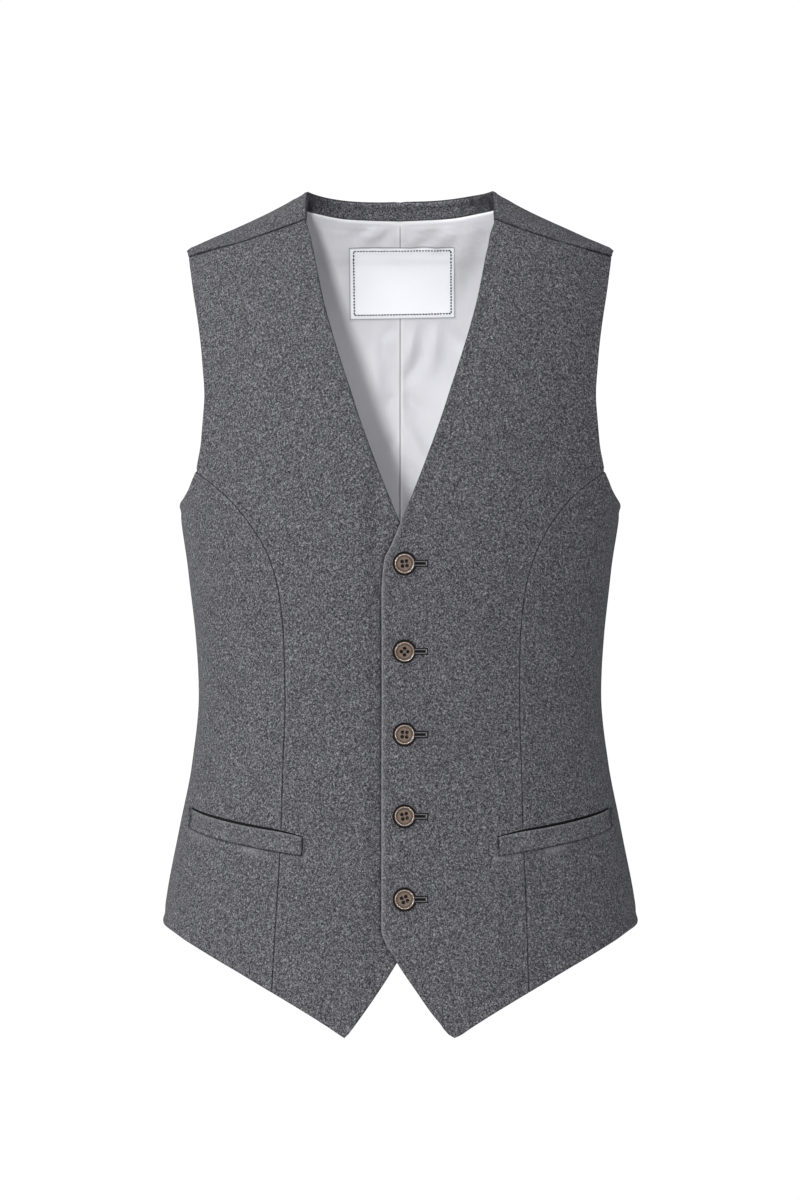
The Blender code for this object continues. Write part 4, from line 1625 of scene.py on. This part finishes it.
def open_pocket(side_name, side):
    """Paints a highlight on the rim below the welt and cuts the mouth."""
    mouth = make_mouth(side)
    for panel in ("front", "side_front"):
        node = "%s_%s" % (panel, side_name)
        below = distance_to(form(*grids[node].reshape(-1, 2).T), line_on_form(WELT_FOOT))
        # Painted highlight on the panels just below the welt's foot
        rim = 0.85 * bell(below, 2.3, 1.3)
        change_mark(made[node], "pressed", numpy.maximum(mark_of(made[node], "pressed"), rim))
        cut_with(made[node], [mouth])
    discard([mouth])


for side_name, side in (("left", 1), ("right", -1)):
    open_pocket(side_name, side)
    node = "pocket_welt_" + side_name
    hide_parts(node)
    print(node, len(made[node].data.polygons), "faces")

# %% [markdown]
# ## A place on the front
#
# Buttons, slits and stitches all sit on the cloth and tilt with it. A seat is a matrix whose Z
# axis points straight out of the cloth at one spot, so a thing made flat at the origin only has
# to be multiplied by it.

# %% A place on the front
def seat(across, drop, lift=0.0, spin=0.0):
    """Place on the upper front, in metres: local Z points out of the cloth, local X across it."""
    turn = turn_at(across, drop)
    normal = Vector(outward(turn, drop))
    across_way = (Vector((1, 0, 0)) - normal * normal.x).normalized()
    up_way = normal.cross(across_way)
    base = form(turn, drop)
    lift = lift + float(panel_height(False, base[None], 1)[0])
    turned = Matrix((across_way, up_way, normal)).transposed().to_4x4()
    spot = Vector(base) + normal * lift
    return Matrix.Translation(spot * MM) @ turned @ Matrix.Rotation(math.radians(spin), 4, "Z")


def on_seat(place, rows):
    """Local points of a seat, in millimetres, as points of the garment."""
    rows = numpy.asarray(rows, float)
    return numpy.array([tuple(place @ Vector(row * MM) / MM) for row in rows])


top_seat = seat(BUTTON_ACROSS, BUTTON_ROWS[0][0]).translation
print("top button's seat:", [round(part / MM, 1) for part in top_seat])

# %% [markdown]
# ## Stitches as arcs of thread
#
# A stitch rises out of the cloth, arches over and dives back in. Each one is a bent tube that
# thins towards its ends, and all the stitches of a seam are one mesh. Curves with a round bevel
# would be the usual way for a few; for hundreds, sums on whole arrays are faster.

# %% Stitches as arcs of thread
RING_SIDES = 6
ARC_STEPS = 5


def tube_faces(stitch):
    """The faces of one stitch: its rings joined, then its two ends."""
    size = ARC_STEPS * RING_SIDES
    first = stitch * size
    faces = []
    for low in range(first, first + size - RING_SIDES, RING_SIDES):
        for corner in range(RING_SIDES):
            near = low + corner
            far = low + (corner + 1) % RING_SIDES
            faces.append((near, far, far + RING_SIDES, near + RING_SIDES))
    faces.append(tuple(range(first, first + RING_SIDES)))
    faces.append(tuple(range(first + size - 1, first + size - 1 - RING_SIDES, -1)))
    return faces


def threads(name, finish, starts, stops, normals, rise, radius):
    """Many short arcs of thread as one piece; points in millimetres."""
    share = numpy.linspace(0, 1, ARC_STEPS)
    arch = numpy.sin(math.pi * share) * rise - 0.25 * rise
    thick = radius * (0.35 + 0.65 * numpy.sin(math.pi * share) ** 0.5)
    way = stops - starts
    middle = starts[:, None] + way[:, None] * share[None, :, None]
    middle = middle + normals[:, None] * arch[None, :, None]
    flank = numpy.cross(normals, way)
    flank /= numpy.linalg.norm(flank, axis=1, keepdims=True)
    angle = numpy.linspace(0, math.tau, RING_SIDES, endpoint=False)
    ring = flank[:, None] * numpy.cos(angle)[None, :, None]
    ring = ring + normals[:, None] * numpy.sin(angle)[None, :, None]
    points = middle[:, :, None] + ring[:, None] * thick[None, :, None, None]
    faces = [face for stitch in range(len(starts)) for face in tube_faces(stitch)]
    return new_object(name, finish, points.reshape(-1, 3), faces)


print("threads have", RING_SIDES, "sides and", ARC_STEPS, "rings")

# %% [markdown]
# ## Tools for cutting
#
# Each tool is a box or a round block that reaches out of the cloth at the top and down to a given
# depth. What it cuts is the slit of the buttonhole, the bed below its stitches, or the ring round
# the button, and its near-black cut faces are painted shadow.

# %% Tools for cutting
TOOL_HEIGHT = 8


def mesh_from(name, work):
    """Ends a bmesh and keeps it as a mesh."""
    mesh = bpy.data.meshes.new(name)
    work.to_mesh(mesh)
    work.free()
    return mesh


def cutter(name, work, place, depth, finish):
    """A closed tool from a mesh of unit height that cuts to a depth below the face of the cloth."""
    bmesh.ops.translate(work, vec=(0, 0, (TOOL_HEIGHT / 2 - depth) * MM), verts=work.verts)
    bmesh.ops.transform(work, matrix=place, verts=work.verts)
    return placed(name, mesh_from(name, work), finish)


def box_cutter(name, place, length, width, depth, finish):
    """A tool for slits and beds."""
    work = bmesh.new()
    bmesh.ops.create_cube(work, size=1)
    bmesh.ops.scale(work, vec=(length * MM, width * MM, TOOL_HEIGHT * MM), verts=work.verts)
    return cutter(name, work, place, depth, finish)


def round_cutter(name, place, radius, depth, finish):
    """A tool for the ring round a button."""
    work = bmesh.new()
    bmesh.ops.create_cone(
        work, cap_ends=True, segments=64, depth=TOOL_HEIGHT * MM,
        radius1=radius * MM, radius2=radius * MM,
    )
    return cutter(name, work, place, depth, finish)


print("cutting tools ready")

# %% [markdown]
# ## Buttonholes
#
# A tailor cuts a slit, works closely set stitches over both of its edges and closes the outer end
# with a bar of thread. The slit is a Boolean cut; the stitches vary a little in reach and lean,
# with a sine of their number in place of chance, so the same ones come back each time.

# %% Buttonholes
SLIT_START = 1.6
SLIT_END = 19.2
SLIT_WIDTH = 2.1
SLIT_DEPTH = 1.7
STITCH_COUNT = 30
STITCH_START = 0.95
STITCH_REACH = 1.9
BAR_STITCHES = 2
BED_END = 21.3
BED_WIDTH = 5.4
BED_DEPTH = 0.75
SEAT_RADIUS = 9.2
SEAT_DEPTH = 1.1


def buttonhole_tools(number, drop):
    """The slit, the bed of its stitches and the ring round the button, whose cut faces are painted
    shadow.
    """
    slit = seat((SLIT_START + SLIT_END) / 2, drop)
    bed = seat((SLIT_START + BED_END) / 2, drop)
    ring = seat(BUTTON_ACROSS, drop)
    return [
        round_cutter("ring_%d" % number, ring, SEAT_RADIUS, SEAT_DEPTH, painted_shadow_wool),
        box_cutter("bed_%d" % number, bed, BED_END - SLIT_START, BED_WIDTH, BED_DEPTH, painted_shadow_wool),
        box_cutter("slit_%d" % number, slit, SLIT_END - SLIT_START, SLIT_WIDTH, SLIT_DEPTH, painted_shadow_black),
    ]


def buttonhole_stitches(number, drop):
    """The thread round one slit, then the bar at its outer end."""
    place = seat((SLIT_START + SLIT_END) / 2, drop)
    half = (SLIT_END - SLIT_START) / 2
    starts = []
    stops = []
    for step in range(STITCH_COUNT):
        along = -half + 2 * half * (step + 0.5) / STITCH_COUNT
        lean = 0.10 * math.sin(2.7 * step)
        reach = STITCH_REACH + 0.08 * math.sin(4.1 * step)
        for way in (1, -1):
            starts.append((along, STITCH_START * way, -0.1))
            stops.append((along + lean, reach * way, -0.2))
    for step in range(BAR_STITCHES):
        along = half + 0.45 + 0.45 * step
        starts.append((along, -STITCH_REACH, -0.15))
        stops.append((along, STITCH_REACH, -0.15))
    starts = on_seat(place, starts)
    stops = on_seat(place, stops)
    normal = numpy.tile(numpy.array(place.col[2][:3]), (len(starts), 1))
    name = "buttonhole_thread_%d" % number
    return threads(name, thread_grey, starts, stops, normal, 0.55, 0.33)


tools = []
for number, (drop, _) in enumerate(BUTTON_ROWS, 1):
    tools += buttonhole_tools(number, drop)
    made["buttonhole_%d" % number] = buttonhole_stitches(number, drop)
cut_with(made["front_left"], tools)
discard(tools)
print("front_left after cutting:", len(made["front_left"].data.polygons), "faces")

# %% [markdown]
# ## Buttons
#
# A button is turned on a lathe, so its mesh is a spun profile: a raised rim, a fine groove inside
# it and a shallow dish. It could be a cylinder with a bevel, but the rim is what catches the light.

# %% Buttons
BUTTON_PROFILE = (
    # radius, height
    (0, 0),
    (2.9, 0),
    (5.6, 0.02),
    (6.4, 0.2),
    (6.95, 0.6),
    (7.35, 1.15),
    (7.5, 1.65),
    (7.46, 2.1),
    (7.32, 2.44),
    (7.1, 2.66),
    (6.95, 2.75),
    (6.8, 2.7),
    (6.6, 2.54),
    (6.36, 2.35),
    (6.27, 2.0),
    (6.2, 1.6),
    (5.95, 1.47),
    (5.6, 1.45),
    (5.25, 1.54),
    (4.95, 1.64),
    (4.5, 1.66),
    (3.4, 1.5),
    (1.7, 1.38),
    (0, 1.35),
)
RIM_INSIDE = 6.23
GROOVE_RADIUS = 5.78
BUTTON_LIFT = 0.2
BUTTON_SEGMENTS = 72
THREAD_HOLE_RADIUS = 1.42
THREAD_HOLE_PITCH = 3.4


def turned_mesh(name, profile, segments):
    """Closed mesh spun from a profile of radius and height."""
    work = bmesh.new()
    ring = [work.verts.new((radius * MM, 0, height * MM)) for radius, height in profile]
    outline = [work.edges.new(pair) for pair in zip(ring, ring[1:])]
    bmesh.ops.spin(
        work, geom=ring + outline, axis=(0, 0, 1), cent=(0, 0, 0),
        steps=segments, angle=math.tau, use_duplicate=False,
    )
    bmesh.ops.remove_doubles(work, verts=work.verts, dist=0.00001)
    bmesh.ops.recalc_face_normals(work, faces=work.faces)
    mesh = mesh_from(name, work)
    mesh.shade_smooth()
    return mesh


def hole_tools():
    """Four round tools for the thread's holes."""
    work = bmesh.new()
    for x_side in (-1, 1):
        for y_side in (-1, 1):
            middle = Vector((x_side, y_side, 0)) * THREAD_HOLE_PITCH / 2 * MM
            bmesh.ops.create_cone(
                work, cap_ends=True, segments=20, depth=20 * MM,
                radius1=THREAD_HOLE_RADIUS * MM, radius2=THREAD_HOLE_RADIUS * MM,
                matrix=Matrix.Translation(middle),
            )
    # The walls of the holes are painted shadow, near black
    return placed("thread_holes", mesh_from("thread_holes", work), painted_shadow_black)


def button_blank():
    """One button at the origin, with painted shade marked between rim and dish and its holes cut."""
    mesh = turned_mesh("button", BUTTON_PROFILE, BUTTON_SEGMENTS)
    blank = placed("button_blank", mesh, horn_dish, horn_rim)
    points = numpy.empty(len(mesh.vertices) * 3)
    mesh.vertices.foreach_get("co", points)
    x, y, z = points.reshape(-1, 3).T / MM
    # Painted shade in the groove between rim and dish
    from_groove = numpy.abs(numpy.hypot(x, y) - GROOVE_RADIUS)
    groove_painted_shade = 0.6 * numpy.clip((0.62 - from_groove) / 0.2, 0, 1) * (z > 1)
    kept = mesh.attributes.new("groove_painted_shade", "FLOAT", "POINT")
    kept.data.foreach_set("value", groove_painted_shade.astype(numpy.float32))
    for face in mesh.polygons:
        face.material_index = int(math.hypot(*face.center.xy) > RIM_INSIDE * MM)
    tool = hole_tools()
    cut_with(blank, [tool])
    discard([tool])
    return blank


blank = button_blank()
print("one button:", len(blank.data.polygons), "faces")

# %% [markdown]
# ## Sewing the buttons on
#
# A shank of wound black thread holds each button a little off the cloth, so that the buttonhole
# has room beneath it, and fills its four holes. Nobody sews five buttons at the same angle, so
# each has its own spin.

# %% Sewing the buttons on
SHANK_PROFILE = (
    # radius, height
    (0, -1.0),
    (2.3, -1.0),
    (2.6, -0.6),
    (2.2, -0.1),
    (2.5, 0.2),
    (2.3, 0.4),
    (0, 0.4),
)
SHANK_SEGMENTS = 16

for number, (drop, spin) in enumerate(BUTTON_ROWS, 1):
    place = seat(BUTTON_ACROSS, drop, BUTTON_LIFT, spin)
    button = placed("horn_button_%d" % number, blank.data.copy())
    shank_mesh = turned_mesh("shank", SHANK_PROFILE, SHANK_SEGMENTS)
    shank = placed("button_shank_%d" % number, shank_mesh, thread_black)
    for part in (button, shank):
        part.matrix_world = place
    made["button_%d" % number] = button
    made["shank_%d" % number] = shank
    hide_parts("button_%d" % number)
discard([blank])
print("button faces:", len(made["button_1"].data.polygons))

# %% [markdown]
# ## The label's stitching
#
# The bare label is held down by a running stitch in black, a short way in from its edge. Each
# stitch is placed by its share across and down the label, so it follows the label's folds.

# %% The label's stitching
STITCH_PITCH = 2.35
STITCH_LENGTH = 1.75
STITCH_SINK = 0.25
LABEL_INSETS = (3.6, 3.1, 2.4, 3.7)


def label_point(over, down, lift):
    """Points on the face of the label and the direction out of it, towards the wearer."""
    turn, drop, side = label_place(over, down)
    base = form(turn, drop)
    mirror = numpy.ones((len(base), 3))
    mirror[:, 0] = side
    normal = outward(turn, drop)
    level = -CLOTH - LAYER_GAP - LINING_WALL - LABEL_GAP - LABEL_WALL - lift
    level = level + lining_shift(base, side) - STITCH_SINK
    return uneven((base + normal * level[:, None]) * mirror), -normal * mirror


def border_stitches():
    """The running stitch round the label."""
    from_left, from_right, from_top, from_foot = LABEL_INSETS
    left = from_left / LABEL_WIDTH
    right = 1 - from_right / LABEL_WIDTH
    top = from_top / LABEL_HEIGHT
    foot = 1 - from_foot / LABEL_HEIGHT
    corners = ((left, top), (right, top), (right, foot), (left, foot), (left, top))
    starts = []
    stops = []
    for (x0, y0), (x1, y1) in zip(corners, corners[1:]):
        length = math.hypot((x1 - x0) * LABEL_WIDTH, (y1 - y0) * LABEL_HEIGHT)
        count = round(length / STITCH_PITCH)
        for step in range(count):
            first = (step + 0.5) / count - STITCH_LENGTH / length / 2
            last = first + STITCH_LENGTH / length
            drift = 0.0016 * math.sin(1.7 * step)
            starts.append((x0 + (x1 - x0) * first + drift, y0 + (y1 - y0) * first))
            stops.append((x0 + (x1 - x0) * last, y0 + (y1 - y0) * last + drift))
    starts, normals = label_point(*numpy.array(starts).T, 0.0)
    stops, _ = label_point(*numpy.array(stops).T, 0.0)
    return threads("label_stitches", thread_black, starts, stops, normals, 0.5, 0.62)


made["label_stitches"] = border_stitches()
print("label stitches:", len(made["label_stitches"].data.polygons) // 26)

# %% [markdown] ## The floor  A plain floor lies well below the garment, pale and matt, so that
# it takes a soft shadow and never competes with the cloth.

# %% The floor
FLOOR_DROP = 1.0
FLOOR_RADIUS = 1.15


def plain_floor():
    """A round pale floor, wide enough for the soft shadow."""
    work = bmesh.new()
    bmesh.ops.create_circle(work, cap_ends=True, segments=96, radius=FLOOR_RADIUS)
    bmesh.ops.translate(work, vec=(0, 0, -FLOOR_DROP), verts=work.verts)
    white = Recipe("floor_white").finish(Base_Color=(0.93, 0.93, 0.93, 1), Roughness=0.9)
    return placed("floor", mesh_from("floor", work), white)


plain_floor()
print("floor", FLOOR_DROP, "m below the neck points")

# %% [markdown]
# ## Light
#
# The surround is white to look at but gives less light than it shows, so that the lamps shape the
# cloth. A small lamp near the camera reaches the lining through the V, and the edge of the V
# throws a crisp shadow on it. Three soft lamps, the strongest from the left, model the fronts, and
# one behind keeps the back readable. The lamps themselves are never in the picture.

# %% Light
SURROUND_LIGHT = 0.28
SURROUND_SEEN = 1.02
LAMPS = (
    # name, place, what it points at, width in metres, watts
    ("front_light", (-0.22, -3.4, -0.50), (0, 0, -0.2), 0.2, 76),
    ("left_light", (-3.0, -1.0, 0.7), (0, 0, -0.3), 1.6, 75),
    ("top_light", (-0.7, -1.2, 1.1), (0, 0, -0.2), 0.7, 15),
    ("back_light", (0, 3.2, 0), (0, 0, -0.3), 1.0, 60),
    ("right_light", (1.0, -1.5, 1.5), (0, 0, -0.2), 0.8, 16),
)


def soft_light(name, place, target, size, power):
    """A round soft lamp."""
    lamp = bpy.data.lights.new(name, "AREA")
    lamp.shape = "DISK"
    lamp.size = size
    lamp.energy = power
    light = placed(name, lamp)
    light.location = place
    light.rotation_euler = (Vector(target) - Vector(place)).to_track_quat("-Z", "Y").to_euler()
    light.visible_camera = False


def surround():
    """White all round to look at, but dimmer than it looks."""
    world = bpy.data.worlds.new("white_studio")
    world.use_nodes = True
    tree = world.node_tree
    seen = tree.nodes.new("ShaderNodeLightPath").outputs["Is Camera Ray"]
    level = tree.nodes.new("ShaderNodeMapRange")
    level.inputs["To Min"].default_value = SURROUND_LIGHT
    level.inputs["To Max"].default_value = SURROUND_SEEN
    tree.links.new(seen, level.inputs["Value"])
    tree.nodes["Background"].inputs["Color"].default_value = (1, 1, 1, 1)
    tree.links.new(level.outputs[0], tree.nodes["Background"].inputs["Strength"])
    bpy.context.scene.world = world


surround()
for lamp_row in LAMPS:
    soft_light(*lamp_row)
bpy.context.scene.view_settings.view_transform = "Standard"
print("lamps:", len(LAMPS))

# %% [markdown]
# ## Camera
#
# The garment is seen straight from the front, from three metres away and through a long lens, so
# that near and far parts keep almost the same size, as in a catalogue. A wide lens from close by
# would swell the chest and hide the sides.

# %% Camera
CAMERA_PLACE = (-0.0002, -3.0, -0.3215)
LENS_LENGTH = 113.9
SENSOR_WIDTH = 36


def set_camera():
    """A level camera that looks along +Y."""
    lens = bpy.data.cameras.new("camera")
    lens.sensor_width = SENSOR_WIDTH
    lens.lens = LENS_LENGTH
    camera = placed("camera", lens)
    camera.location = CAMERA_PLACE
    camera.rotation_euler = (math.radians(90), 0, 0)
    bpy.context.scene.camera = camera


set_camera()
print("lens", LENS_LENGTH, "mm from", -CAMERA_PLACE[1], "m")

# %% [markdown]


# %% [markdown]
# ## Hand over
#
# Every piece rides on the garment's one body.

# %% Hand over
for piece in made.values():
    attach(piece, "root")
print("pieces handed over:", len(made))
